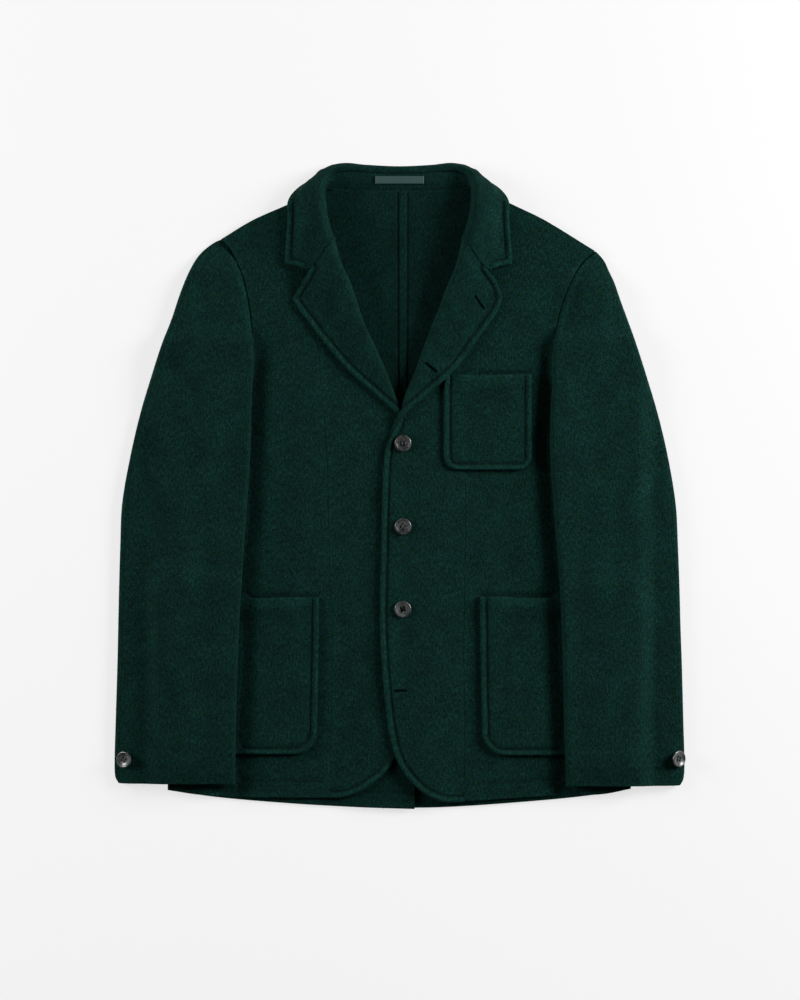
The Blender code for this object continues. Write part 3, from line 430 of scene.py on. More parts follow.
def brushedNapGroup():
    # streaks of nap that run down the cloth, with lighter hairs and slow clouding
    group = bpy.data.node_groups.new("brushedNap", "ShaderNodeTree")
    start, end = addSockets(group, {"base": "Color", "hair": "Color", "deep": "Color"},
                            {"color": "Color", "height": "Float"})
    place = addNode(group, "ShaderNodeUVMap", uv_map="cloth")

    def noise(scaleX, scaleY, roughness, turn=0.0):
        turned = addNode(group, "ShaderNodeMapping",
                         {"Scale": (scaleX, scaleY, 1.0), "Rotation": (0.0, 0.0, turn)})
        made = addNode(group, "ShaderNodeTexNoise", {"Scale": 1.0, "Detail": 3.0, "Roughness": roughness})
        wire(group, (place.outputs["UV"], turned.inputs["Vector"]),
             (turned.outputs["Vector"], made.inputs["Vector"]))
        return made.outputs["Fac"]

    def ramp(value, low, high, toLow=0.0, toHigh=1.0):
        made = addNode(group, "ShaderNodeMapRange",
                       {"From Min": low, "From Max": high, "To Min": toLow, "To Max": toHigh})
        wire(group, (value, made.inputs["Value"]))
        return made.outputs["Result"]

    def weighed(value, weight):
        made = addNode(group, "ShaderNodeMath", {1: weight}, operation="MULTIPLY")
        wire(group, (value, made.inputs[0]))
        return made.outputs[0]

    def blend(share, first, second):
        made = addNode(group, "ShaderNodeMix", data_type="RGBA")
        wire(group, (share, made.inputs["Factor"]), (first, made.inputs["A"]), (second, made.inputs["B"]))
        return made.outputs["Result"]

    fine = noise(1250.0, 560.0, 0.75, 0.10)     # hairs
    clumps = noise(470.0, 200.0, 0.65, -0.16)   # tufts of hairs
    clouds = noise(46.0, 30.0, 0.55)            # brushing
    shades = noise(210.0, 150.0, 0.6, 0.3)      # bluer and greener fibres
    summed = addNode(group, "ShaderNodeMath", operation="ADD")
    streak = summed.outputs[0]
    coloured = blend(ramp(streak, 0.50, 0.63), start["base"], start["hair"])
    coloured = blend(ramp(streak, 0.50, 0.37), coloured, start["deep"])
    clouded = addNode(group, "ShaderNodeHueSaturation")
    wire(group, (weighed(fine, 0.62), summed.inputs[0]), (weighed(clumps, 0.38), summed.inputs[1]),
         (ramp(shades, 0.35, 0.65, 0.465, 0.535), clouded.inputs["Hue"]),
         (ramp(clouds, 0.3, 0.7, 0.84, 1.18), clouded.inputs["Value"]), (coloured, clouded.inputs["Color"]),
         (clouded.outputs["Color"], end["color"]), (streak, end["height"]))
    return group


def plainMaterial(name, slotName, color, roughness, specular=0.5, coat=0.0):
    made = bpy.data.materials.new(name)
    made.use_nodes = True
    made["slot"] = slotName
    look = {"Base Color": (*color, 1.0), "Roughness": roughness, "Specular IOR Level": specular,
            "Coat Weight": coat, "Coat Roughness": 0.12}
    for entry, value in look.items():
        made.node_tree.nodes["Principled BSDF"].inputs[entry].default_value = value
    return made


def addBump(tree, shader, height, strength, distance):
    bump = addNode(tree, "ShaderNodeBump", {"Strength": strength, "Distance": distance})
    wire(tree, (height, bump.inputs["Height"]), (bump.outputs["Normal"], shader.inputs["Normal"]))


def woolMaterial(name, slotName, look):
    made = plainMaterial(name, slotName, look["base"], 0.92, 0.05)
    tree = made.node_tree
    shader = tree.nodes["Principled BSDF"]
    nap = addNode(tree, "ShaderNodeGroup", node_tree=napGroup)
    for key in ("base", "hair", "deep"):
        nap.inputs[key].default_value = (*look[key], 1.0)
    # painted shade and highlight: the base colour is darkened in hollows and lightened on raised edges by the
    # hollow value
    paintedShadeHollow = addNode(tree, "ShaderNodeAttribute", attribute_name="paintedShadeHollow")
    paintedShade = addNode(tree, "ShaderNodeMapRange",
                   {"From Min": -1.0, "To Min": look["raised"], "To Max": look["sunk"]})
    paintedShadeColour = addNode(tree, "ShaderNodeVectorMath", operation="SCALE")
    wire(tree, (paintedShadeHollow.outputs["Fac"], paintedShade.inputs["Value"]),
         (paintedShade.outputs["Result"], paintedShadeColour.inputs["Scale"]), (nap.outputs["color"], paintedShadeColour.inputs["Vector"]),
         (paintedShadeColour.outputs["Vector"], shader.inputs["Base Color"]))
    addBump(tree, shader, nap.outputs["height"], look["bump"], 0.0011)
    shader.inputs["Sheen Weight"].default_value = look["sheen"]
    shader.inputs["Sheen Roughness"].default_value = 0.55
    shader.inputs["Sheen Tint"].default_value = (*look["sheenTint"], 1.0)
    return made


# raised and sunk scale the wool's colour: painted highlight on raised edges, painted shade in hollows
woolLook = {"base": (0.0020, 0.0168, 0.0130), "hair": (0.0084, 0.0490, 0.0390),
            "deep": (0.0005, 0.0038, 0.0030), "bump": 0.8, "sheen": 0.03, "sheenTint": (0.12, 0.45, 0.35),
            "raised": 1.3, "sunk": 0.5}
insideLook = {**woolLook, "base": (0.0018, 0.0150, 0.0117), "hair": (0.0062, 0.0370, 0.0300)}
napGroup = brushedNapGroup()
wool = woolMaterial("brushedWool", "wool", woolLook)
woolInside = woolMaterial("brushedWoolInside", "wool_inside", insideLook)
napHair = plainMaterial("napHair", "wool", (0.0130, 0.0560, 0.0440), 0.9, 0.05)
thread = plainMaterial("thread", "wool", (0.0016, 0.0080, 0.0062), 0.8, 0.08)
holeThread = plainMaterial("buttonholeThread", "wool", (0.0004, 0.0014, 0.0012), 0.9, 0.0)
buttonThread = plainMaterial("buttonThread", "wool", (0.0010, 0.0022, 0.0020), 0.9, 0.0)
# a pale copy of the button thread: painted highlight on the strands
paintedGlintThread = plainMaterial("paintedGlintThread", "wool", (0.13, 0.17, 0.16), 0.7, 0.0)
print("materials ready")


shoulder = {
    "left": [
        (-206.8, 286.0), (-171.0, 307.7), (-129.0, 326.2), (-113.0, 334.0), (-94.0, 343.0)],
    "right": [
        (226.3, 272.6), (169.0, 307.7), (129.0, 327.0), (113.0, 335.0), (92.0, 345.5)],
}
# armhole, then side seam, from the shoulder tip to the hem
armholeAndSide = {
    "left": [
        (-206.8, 286.0), (-196.2, 275.0), (-181.0, 241.6), (-172.0, 195.0), (-170.9, 160.0),
        (-175.5, 125.0), (-192.0, 95.0), (-224.0, 76.0), (-256.0, 66.0), (-266.0, 48.0),
        (-268.0, 15.0), (-268.0, -100.0), (-268.5, -352.0)],
    "right": [
        (226.3, 272.6), (209.0, 256.6), (189.4, 213.7), (182.4, 186.0), (179.0, 160.0), (180.0, 125.0),
        (193.0, 95.0), (224.0, 76.0), (256.0, 66.0), (266.0, 48.0), (268.0, 15.0), (268.0, -100.0),
        (268.0, -350.5)],
}
frontSeam = {
    "left": [
        (-113.0, 334.0), (-109.0, 250.0), (-103.8, 204.4), (-94.5, 161.5), (-91.1, 123.2),
        (-84.1, 30.4), (-81.1, -77.4), (-78.3, -184.0), (-80.6, -361.3)],
    "right": [
        (113.0, 335.0), (107.0, 250.0), (100.3, 204.4), (94.5, 158.0), (86.0, 86.0), (77.1, 15.4),
        (76.0, -77.4), (74.4, -184.0), (76.0, -365.5)],
}
# under the roll of the lapel, then the front edge round to the hem
frontEdge = {
    "left": [
        (-94.0, 343.0), (-94.5, 315.0), (-86.0, 278.0), (-73.0, 243.0), (-57.0, 198.0), (-36.0, 152.0),
        (-14.0, 112.0), (4.0, 84.0), (22.0, 50.0), (28.5, -20.0), (30.0, -130.0), (27.0, -215.0),
        (17.0, -272.0), (-8.0, -319.5), (-18.0, -332.6), (-31.9, -344.4), (-47.0, -354.2),
        (-66.0, -360.6), (-79.0, -361.2)],
    "right": [
        (92.0, 345.5), (91.0, 312.0), (83.0, 272.0), (67.0, 230.0), (47.0, 184.0), (31.0, 142.0),
        (14.0, 107.0), (0.0, 84.0), (-3.7, 71.3), (-15.2, 46.1), (-19.0, 10.0), (-21.3, -80.0),
        (-22.6, -140.0), (-20.8, -200.0), (-13.3, -277.0), (-5.5, -311.0), (3.5, -329.1),
        (19.1, -347.7), (35.4, -359.6), (54.0, -365.8), (74.5, -366.0)],
}
frontHem = {
    "left": [
        (-268.5, -352.0), (-231.0, -357.5), (-181.5, -360.5), (-80.6, -361.3)],
    "right": [
        (268.0, -350.5), (235.0, -356.8), (168.8, -359.5), (76.0, -365.5)],
}
backHem = {
    "left": [
        (-268.5, -353.5), (-211.7, -361.6), (-127.0, -368.4), (-57.4, -372.0), (17.4, -374.0)],
    "right": [
        (268.0, -352.0), (221.0, -359.6), (151.4, -366.2), (52.8, -372.4), (-20.0, -373.0)],
}
backNeckHalf = [
    (94.0, 343.0), (74.0, 342.0), (40.0, 341.0), (4.1, 340.6)]
# patch pockets: left, right, top, bottom, corner radius, taper
pockets = {
    "breast": (51.4, 153.0, 129.6, 18.6, 16.0, 0.0),
    "left": (-248.0, -93.0, -128.6, -310.6, 27.0, 5.0),
    "right": (93.0, 248.0, -128.0, -311.8, 27.0, 5.0),
}

bodyLook = {
    "pitch": 3.1, "hiddenPitch": 4.55, "seamRound": 0.7, "edgeRound": 1.7, "armholeRound": 0.8,
    "hemStitch": 19.6, "hemGroove": 0.5, "grooveHalf": 1.5, "sleeveDip": 3.3, "dipRun": 15.0,
    "mouthDip": 1.7, "mouthIn": 1.6, "mouthHalf": 2.1,
    "lip": {"run": 5.5, "rise": 0.6, "low": 84.0, "ramp": 16.0},
    "weltTop": {"left": -316.0, "right": 88.0}, "weltRamp": 16.0,
    "between": (97.0, 1.5, -94.5, -190.0, -238.0), "betweenRise": 0.7,
    "seamBand": {"half": 4.9, "rise": 0.95, "groove": 0.7, "grooveAt": 5.4, "grooveHalf": 1.1, "low": -180.0},
    "sleeveEdge": {
        "left": [(195.0, 172.5), (130.0, 170.6), (40.0, 172.4), (-118.0, 182.6), (-344.0, 189.7)],
        "right": [(190.0, 183.8), (130.0, 177.8), (40.0, 174.0), (-118.0, 185.2), (-347.0, 192.6)]},
    "cutSide": (0.205, 0.700), "cutFront": (0.150, 0.712), "cutBack": (0.290, 0.722),
}
# x, y, direction, half length, half width, height, bow
bodyCreases = {
    "left": [
        (-232, 150, 62, 60, 13, -0.9, 5), (-215, 118, 50, 46, 10, 0.8, 4), (-150, 60, 82, 90, 20, 0.5, 6),
        (-130, -60, 96, 80, 17, -0.5, -5), (-200, 20, 70, 60, 15, -0.6, 6), (-120, 230, 70, 55, 18, 0.5, 4)],
    "right": [
        (228, 160, 118, 58, 12, -0.9, -5), (214, 120, 128, 44, 11, 0.8, -4), (150, 70, 96, 85, 19, 0.5, -6),
        (128, -70, 86, 80, 18, -0.5, 5), (190, 10, 108, 62, 14, -0.6, -5), (125, 240, 108, 50, 17, 0.5, -4)],
}


def rowShares(outer, inner, pitch, startFine, endFine):
    return spacedShares(max(lineLength(outer), lineLength(inner)), pitch, startFine, endFine)


def shiftX(rows, dx):
    return [(x + dx, y) for x, y in rows]


def outlineOf(plan):
    return [sparse(plan[0]), sparse(plan[:, -1], 260), sparse(plan[-1]), sparse(plan[:, 0], 260)]


def tableValue(rows, column, y):
    # a column's value between rows that run from high y to low y, eased
    ys = np.array([row[0] for row in rows])[::-1]
    values = np.array([row[column] for row in rows])[::-1]
    index = np.clip(np.searchsorted(ys, y) - 1, 0, len(ys) - 2)
    share = ease((y - ys[index]) / (ys[index + 1] - ys[index]))
    return mix(values[index], values[index + 1], share)


def sunkBeside(x, y):
    # how far the cloth sinks beside the sleeves that lie on it
    dip = np.zeros(np.broadcast(x, y).shape)
    for sleeveSide, rows in bodyLook["sleeveEdge"].items():
        away = tableValue(rows, 1, y) - leftRight(sleeveSide) * x
        near = bell(np.maximum(away, 0.0), 0.0, bodyLook["dipRun"]) * ease((away + 30.0) / 20.0)
        dip = dip - bodyLook["sleeveDip"] * near * ease((165.0 - y) / 30.0)
    return dip


def mouthHollow(x, y):
    # the hollow above each pocket's mouth
    total = np.zeros(np.broadcast(x, y).shape)
    for left, right, top, bottom, radius, taper in pockets.values():
        beside = ease((x - left + 2.0) / 5.0) * ease((right + 2.0 - x) / 5.0)
        above = bell(y - top, bodyLook["mouthIn"], bodyLook["mouthHalf"])
        total = total - bodyLook["mouthDip"] * beside * above
    return total


def hemRelief(hem):
    # the hem's rounded edge, and the groove of its stitches
    groove = bodyLook["hemGroove"] * bell(hem, bodyLook["hemStitch"], bodyLook["grooveHalf"])
    return roundEdge(hem, bodyLook["edgeRound"]) - groove


def makeSide(side):
    sign, lip, right = leftRight(side), bodyLook["lip"], side == "right"
    outer = smoothLine(armholeAndSide[side])
    seam = smoothLine(shiftX(frontSeam[side], -sign * cloth["sewn"]))
    rows = rowShares(outer, seam, bodyLook["pitch"], seamFine, edgeFine)
    columns = columnShares(outer, seam, rows, bodyLook["pitch"], seamFine, seamFine)
    plan = patchGrid(outer, seam, smoothLine(shoulder[side][:4]), smoothLine(frontHem[side]), columns, rows)
    x, y = plan[..., 0], plan[..., 1]
    top, inside, hem, armhole = [distanceTo(line, x, y) for line in outlineOf(plan)]
    relief = roundEdge(np.minimum(inside, top), bodyLook["seamRound"]) + hemRelief(hem)
    # the armhole seam stays up at the sleeve, and the cloth beside it sinks
    up = bell(armhole, 0.0, lip["run"]) * ease((y - lip["low"]) / lip["ramp"])
    relief = relief + roundEdge(armhole, 1.0) * bodyLook["armholeRound"]
    relief = relief + sunkBeside(x, y) * (1.0 - up) + lip["rise"] * up + mouthHollow(x, y)
    relief = relief + surface(x, y, 11 + right, bodyCreases[side])
    clothPiece("sidePanel_" + side, lay(plan, sideTop), relief, cloth["thick"], -sign, wool, "side_" + side,
               bodyLook["cutSide"], ["back_" + side], hairiness(np.minimum(hem, armhole)))


def makeFront(side):
    sign, right = leftRight(side), side == "right"
    seam = smoothLine(shiftX(frontSeam[side], sign * cloth["sewn"]))
    edge = smoothLine(frontEdge[side])
    rows = rowShares(seam, edge, bodyLook["pitch"], seamFine, (0.0, 0.8, 1.8))
    columns = columnShares(seam, edge, rows, bodyLook["pitch"], seamFine, edgeFine)
    plan = patchGrid(seam, edge, np.array([seam[0], edge[0]]), np.array([seam[-1], edge[-1]]), columns, rows)
    x, y = plan[..., 0], plan[..., 1]
    away = distanceTo(sparse(edge, 200), x, y)
    welted = ease((bodyLook["weltTop"][side] - y) / bodyLook["weltRamp"])
    relief = weltHeight(away) * welted + roundEdge(away, bodyLook["edgeRound"])
    relief = relief + roundEdge(distanceTo(sparse(seam, 200), x, y), bodyLook["seamRound"])
    relief = relief + surface(x, y, 21 + right, bodyCreases[side])
    for between in bodyLook["between"] if right else ():   # the edge lifts a little between the buttons
        relief = relief + bodyLook["betweenRise"] * hill(x, y, -12.0, 20.0, between, 26.0)
    clothPiece("frontPanel_" + side, lay(plan, upperFrontTop if right else sideTop), relief, cloth["thick"],
               -sign, wool, "front_" + side, bodyLook["cutFront"],
               ["front_left", "back_right"] if right else ["back_left"], hairiness(away))


def makeBack(side):
    sign, right, band = leftRight(side), side == "right", bodyLook["seamBand"]
    seamX, seamTop = centreSeam - sign * cloth["sewn"], backNeckHalf[-1][1]
    neckFoot = [(sign * x, y) for x, y in backNeckHalf[1:-1]] + [(seamX, seamTop)]
    flapX = vent["under"] if right else vent["edge"]
    inner = smoothLine([(seamX, seamTop), (seamX, 0.0), (seamX, vent["top"] + vent["waist"]),
                        (flapX, vent["top"]), (flapX, backHem[side][-1][1])])
    outer = smoothLine(armholeAndSide[side])
    rows = rowShares(outer, inner, bodyLook["hiddenPitch"], seamFine, edgeFine)
    columns = columnShares(outer, inner, rows, bodyLook["hiddenPitch"], edgeFine, bandFine)
    top = smoothLine(shoulder[side][:3] + [shoulder[side][-1]] + neckFoot)
    plan = patchGrid(outer, inner, top, smoothLine(backHem[side]), columns, rows)
    x, y = plan[..., 0], plan[..., 1]
    hem = distanceTo(sparse(plan[-1]), x, y)
    away = np.abs(x - centreSeam)   # the seam's turned edges make a raised band between two stitch lines
    relief = band["rise"] * ease((band["half"] - away) / 1.5)
    relief = relief - band["groove"] * bell(away, band["grooveAt"], band["grooveHalf"])
    relief = relief * ease((y - band["low"]) / 20.0) + hemRelief(hem) + surface(x, y, 31 + right, (), 0.6)

    def height(px, py):
        return cloth["thick"] + neckLift(px, py) + (0.0 if right else ventLift(px, py))
    clothPiece("backPanel_" + side, lay(plan, height), relief, cloth["thick"], -sign, woolInside,
               "back_" + side, bodyLook["cutBack"], [] if right else ["back_right"], hairiness(hem, 0.6))


for side in ("left", "right"):
    makeBack(side)
    makeSide(side)
    makeFront(side)
print("body panels ready")


# each pocket's whole cut, what it lies on, and the wave of its mouth as shares across and drops
pocketLook = {
    "pitch": 3.0, "mouthLift": 2.2, "mouthRun": 16.0, "seed": {"breast": 54, "left": 52, "right": 53},
    "mouth": ((0.16, 0.2), (0.34, 1.5), (0.55, 1.1), (0.8, 0.3)),
    "cut": {"breast": (0.102, 0.115), "left": (0.156, 0.185), "right": (0.156, 0.187)},
    "under": {"breast": ["side_right", "front_right"], "left": ["side_left"], "right": ["side_right"]},
}


def pocketOutline(size):
    left, right, top, bottom, radius, taper = size
    arc = radius * (1.0 - math.sqrt(0.5))
    lowLeft, lowRight = left + taper / 2, right - taper / 2
    leftSide = [(left, top), (mix(left, lowLeft, 0.6), mix(top, bottom, 0.6)),
                (lowLeft, bottom + radius * 1.4), (lowLeft + radius * 0.01, bottom + radius * 0.9),
                (lowLeft + radius * 0.08, bottom + radius * 0.62), (lowLeft + arc, bottom + arc)]
    rightSide = [(left + right - x, y) for x, y in leftSide]
    low = [leftSide[-1], (lowLeft + radius * 0.62, bottom + radius * 0.08),
           (lowLeft + radius * 0.9, bottom + radius * 0.01), (lowLeft + radius * 1.4, bottom),
           (lowRight - radius * 1.4, bottom), (lowRight - radius * 0.9, bottom + radius * 0.01),
           (lowRight - radius * 0.62, bottom + radius * 0.08), rightSide[-1]]
    return smoothLine(leftSide), smoothLine(rightSide), smoothLine(low)


def makePocket(name, size):
    left, right, low = pocketOutline(size)
    rows = spacedShares(size[2] - size[3], pocketLook["pitch"], seamFine, edgeFine)
    columns = columnShares(left, right, rows, pocketLook["pitch"], edgeFine, edgeFine)
    wave = [(mix(left[0][0], right[0][0], share), size[2] - drop) for share, drop in pocketLook["mouth"]]
    plan = patchGrid(left, right, smoothLine([left[0]] + wave + [right[0]]), low, columns, rows)
    x, y = plan[..., 0], plan[..., 1]
    sewn = np.minimum.reduce([distanceTo(sparse(line), x, y) for line in (left, right, low)])
    mouth = plan[:1, :, 1] - y
    relief = weltHeight(sewn) + roundEdge(sewn, 1.5) + roundEdge(mouth, 2.0)
    slack = pocketLook["mouthLift"] * bell(mouth, 0.0, pocketLook["mouthRun"])
    relief = relief + slack * ease((sewn - 8.0) / 26.0)
    relief = relief + surface(x, y, pocketLook["seed"][name]) + sunkBeside(x, y)
    face = upperFrontTop if name == "breast" else sideTop
    clothPiece("patchPocket_" + name, lay(plan, lambda px, py: face(px, py) + lift), relief, cloth["thick"],
               1.0, wool, "pocket_" + name, pocketLook["cut"][name], pocketLook["under"][name],
               hairiness(np.minimum(sewn, mouth)))


for name, size in pockets.items():
    makePocket(name, size)
print("pockets ready")


# lapels: crest of the roll, gorge with notch edge, outer edge
lapelCrest = {
    "left": [
        (-81.2, 280.3), (-73.0, 256.0), (-58.5, 220.3), (-46.5, 188.2), (-31.5, 157.0), (-19.5, 131.0),
        (-9.5, 108.2), (-4.6, 97.0), (2.4, 87.0), (11.5, 76.6)],
    "right": [
        (78.8, 280.3), (69.0, 246.0), (56.5, 216.0), (42.5, 184.0), (31.5, 156.0), (23.0, 133.0),
        (13.0, 112.6), (5.6, 94.2), (-0.2, 82.6), (-4.6, 72.0), (-11.4, 56.0)],
}
gorge = {
    "left": [
        (-81.2, 280.3), (-89.0, 268.2), (-104.2, 249.4), (-109.2, 240.8), (-116.1, 229.5),
        (-123.6, 217.0)],
    "right": [
        (78.8, 280.3), (88.0, 267.6), (101.7, 249.6), (108.5, 241.4), (114.3, 231.8), (119.0, 218.0)],
}
lapelEdge = {
    "left": [
        (-123.6, 217.0), (-118.3, 206.8), (-107.3, 192.8), (-93.4, 174.3), (-77.1, 153.9),
        (-58.6, 133.2), (-35.8, 112.8), (-17.5, 96.6), (-3.2, 84.6), (10.5, 72.6)],
    "right": [
        (119.0, 218.0), (114.3, 204.4), (103.8, 188.2), (90.4, 169.9), (74.2, 146.9), (58.2, 128.6),
        (39.9, 112.6), (21.5, 96.6), (7.8, 85.0), (-2.6, 71.0), (-10.4, 55.0)],
}
# y, rise of the roll above the front, half width of its fold
rollStations = [
    (285.0, 19.0, 6.3), (268.0, 17.6, 6.8), (240.0, 15.0, 7.4), (190.0, 10.0, 6.4), (140.0, 5.4, 5.2),
    (104.0, 2.2, 3.6), (74.0, 0.0, 0.4)]
lapelLook = {
    "pitch": 2.6, "gorgeGap": -1.2, "gorgeStep": 0.55, "gorgeRun": 15.0, "crestRun": 4.8, "notchX": 113.0,
    "blendLow": 56.0, "blendHigh": 90.0, "sunk": -3.2, "turnSteps": 16, "turnEnd": 0.36, "turnFull": 0.97,
    "round": 1.4, "cut": (0.145, 0.235), "pocket": {"x": 34.0, "y": 150.0, "ramp": 16.0},
    "creases": {"left": [(-70, 200, 64, 60, 9, 0.8, 6), (-52, 160, 60, 40, 8, -0.5, 4)],
                "right": [(68, 200, 116, 58, 9, 0.8, -6), (50, 150, 120, 38, 8, -0.5, -4)]}}


def makeLapel(side):
    sign, right, look = leftRight(side), side == "right", lapelLook
    seamRow = [(x, y - look["gorgeGap"]) for x, y in gorge[side]]
    outer, crest = smoothLine(lapelEdge[side]), smoothLine(lapelCrest[side])
    rows = rowShares(outer, crest, look["pitch"], edgeFine, (0.0, 1.0, 2.2))
    columns = columnShares(outer, crest, rows, look["pitch"], edgeFine, (0.0,))
    plan = patchGrid(outer, crest, smoothLine(seamRow[::-1]), np.array([outer[-1], crest[-1]]), columns, rows)
    x, y = plan[..., 0], plan[..., 1]
    face = upperFrontTop if right else sideTop
    width = np.linalg.norm(plan[:, :1] - plan[:, -1:], axis=-1)
    crestX, crestY = plan[:, -1:, 0], plan[:, -1:, 1]
    nearRoll = 1.0 - ease(np.hypot(x - crestX, y - crestY) / np.maximum(width, 1.0))
    pocket = look["pocket"]
    overPocket = ease((x - pocket["x"]) / pocket["ramp"]) * ease((pocket["y"] - y) / pocket["ramp"])
    joined = ease((crestY - look["blendLow"]) / (look["blendHigh"] - look["blendLow"]))
    z = face(x, y) + (lift + welt["height"]) * overPocket + mix(look["sunk"], lift, joined)
    z = z + tableValue(rollStations, 1, crestY) * nearRoll
    # along the gorge the lapel lies a step below the collar's end
    collarEnd = collarSection(collarRows[0], side)[10:]
    order = np.argsort(np.abs(collarEnd[:, 0]))
    meets = np.interp(np.abs(x[0]), np.abs(collarEnd[order, 0]), collarEnd[order, 2]) - look["gorgeStep"]
    meets = (meets - z[0]) * ease((look["notchX"] - np.abs(x[0])) / 6.0)
    nearGorge = bell(np.linalg.norm(plan - plan[:1], axis=-1), 0.0, look["gorgeRun"])
    z = z + meets[None, :] * nearGorge
    # the roll turns under at the crest, and its end meets the collar's
    crestZ = z[:, -1:]
    halfHeight = (crestZ - face(crestX, crestY) + cloth["thick"]) / 2.0
    turn = mix(look["turnEnd"], look["turnFull"], ease((crestY - 95.0) / 45.0))
    angle = math.pi * turn * np.arange(1, look["turnSteps"] + 1)[None, :] / look["turnSteps"]
    upTo = look["crestRun"] * nearGorge[:, -1:]
    turned = np.dstack([crestX - sign * tableValue(rollStations, 2, crestY) * np.sin(angle),
                        crestY + upTo * np.sin(angle), crestZ - halfHeight * (1.0 - np.cos(angle))])
    grid = np.concatenate([np.dstack([x, y, z]), turned], axis=1)
    x, y = grid[..., 0], grid[..., 1]
    notch = sparse(smoothLine(seamRow[2:]), 40)
    flat = np.arange(grid.shape[1])[None, :] < plan.shape[1]
    sewn = np.minimum(distanceTo(sparse(outer), x, y), distanceTo(notch, x, y))
    relief = weltHeight(sewn) + roundEdge(sewn, look["round"]) * flat
    relief = relief + surface(x, y, 61 + right, look["creases"][side], 0.6)
    clothPiece("lapelFacing_" + side, grid, relief, cloth["lapel"], -sign, wool, "lapel_" + side,
               look["cut"], ["front_" + side], hairiness(np.where(flat, sewn, 50.0)))


# collar: roll, crest, middle and edge of the leaf, x y z of each, from the gorge to the centre back
collarRows = [
    (73.0, 285.0, 21.0, 80.5, 281.0, 29.5, 104.2, 251.4, 20.6, 132.6, 257.0, 12.0),
    (76.5, 291.5, 22.0, 84.5, 289.0, 31.5, 106.5, 271.0, 22.0, 132.4, 270.0, 12.6),
    (80.0, 302.0, 23.0, 88.5, 300.0, 33.0, 109.0, 290.0, 23.5, 131.0, 289.0, 14.2),
    (83.0, 315.0, 23.0, 91.5, 315.0, 34.0, 111.0, 311.0, 24.5, 129.4, 311.0, 15.4),
    (84.6, 328.0, 22.0, 92.5, 330.0, 33.0, 111.5, 332.0, 24.0, 129.6, 328.0, 15.4),
    (85.2, 339.0, 19.0, 92.0, 343.5, 29.5, 108.5, 348.0, 19.0, 121.5, 342.0, 7.5),
    (84.6, 349.0, 15.5, 90.0, 355.0, 24.0, 100.5, 357.5, 13.0, 110.0, 350.0, 1.5),
    (81.0, 358.0, 12.0, 84.5, 364.0, 18.5, 91.0, 366.8, 9.0, 99.0, 340.0, 0.0),
    (72.5, 364.0, 9.4, 74.0, 369.5, 13.0, 77.5, 372.6, 6.0, 84.0, 328.0, 0.0),
    (59.0, 365.4, 8.2, 59.5, 371.0, 10.0, 60.5, 374.8, 5.0, 62.0, 322.5, 0.0),
    (38.0, 364.2, 8.0, 38.0, 369.0, 9.2, 38.0, 372.6, 4.6, 38.0, 322.5, 0.0),
    (0.0, 362.8, 8.0, 0.0, 367.4, 9.2, 0.0, 371.0, 4.6, 0.0, 322.5, 0.0)]
standFoot = [
    (76.2, 280.2), (80.0, 290.0), (83.5, 300.0), (86.5, 311.0), (88.5, 323.0), (89.0, 335.0), (84.5, 344.2),
    (73.0, 343.2), (57.0, 342.2), (38.0, 341.7), (0.0, 341.2)]
collarLook = {"shiftRight": -2.6, "pitch": 2.6, "across": 58.0, "along": 430.0, "cut": (0.600, 0.112),
              "creases": [(-112, 300, 84, 30, 9, 0.7, 4), (108, 296, 96, 32, 9, 0.6, -4)]}
standLook = {"start": (72.2, 282.2, 20.8), "rise": -0.5, "riseSide": -0.6, "riseCorner": 0.8, "parting": 0.15,
             "partingSide": 1.2, "footDrop": 1.4, "rows": 14, "along": 250.0, "cut": (0.330, 0.040)}


def collarSection(row, side):
    sign = leftRight(side)
    shift = (collarLook["shiftRight"] if side == "right" else 0.0) * float(ease(row[3] / 60.0))
    tucked = float(ease((9.0 - row[11]) / 6.0))
    share = mix(0.5, 0.13, tucked)
    middle, edge = row[6:9], row[9:12]
    under = (mix(middle[0], edge[0], share), mix(middle[1], edge[1], share),
             mix(middle[2], edge[2], mix(0.62, 0.96, tucked)))
    line = smoothLine([row[0:3], row[3:6], middle, under, edge], 14)
    line[:, 0] = sign * (line[:, 0] + shift)
    line[:, 2] = np.maximum(line[:, 2], 0.0)
    return line


def makeCollar():
    sections = [collarSection(row, "left") for row in collarRows]
    sections += [collarSection(row, "right") for row in collarRows[-2::-1]]
    shares = spacedShares(collarLook["across"], 2.3, (0.0, 1.0, 2.0), edgeFine)
    across = np.array([pointsAt(section, shares) for section in sections])
    along = spacedShares(collarLook["along"], collarLook["pitch"], edgeFine, edgeFine)
    grid = np.stack([pointsAt(smoothLine(across[:, index]), along) for index in range(len(shares))], axis=1)
    x, y = grid[..., 0], grid[..., 1]
    leaf = grid[:, -1, 2] > 9.0
    half, cut = len(leaf) // 2, int(len(shares) * 0.62)
    edges = [grid[:half][leaf[:half], -1, :2], grid[half:][leaf[half:], -1, :2],
             grid[0, cut:, :2], grid[-1, cut:, :2]]
    near = np.minimum.reduce([distanceTo(line, x, y) for line in edges])
    flat = np.arange(len(shares))[None, :] > len(shares) * 0.22
    keep = ease((336.0 - y) / 12.0) * (y > 240.0) * flat
    relief = (weltHeight(near) + roundEdge(near, 1.5)) * keep
    relief = relief + surface(x, y, 71, collarLook["creases"], 0.5)
    # calmer where the fall is tucked in
    relief = relief * np.maximum(ease((grid[:, -1:, 2] - 2.0) / 5.0), 0.35)
    clothPiece("collarLeaf", grid, relief, cloth["thick"], 1.0, wool, "collar", collarLook["cut"],
               ["lapel_left", "lapel_right", "side_left", "side_right"], hairiness(np.minimum(near, 30.0)),
               turnWeave=True)


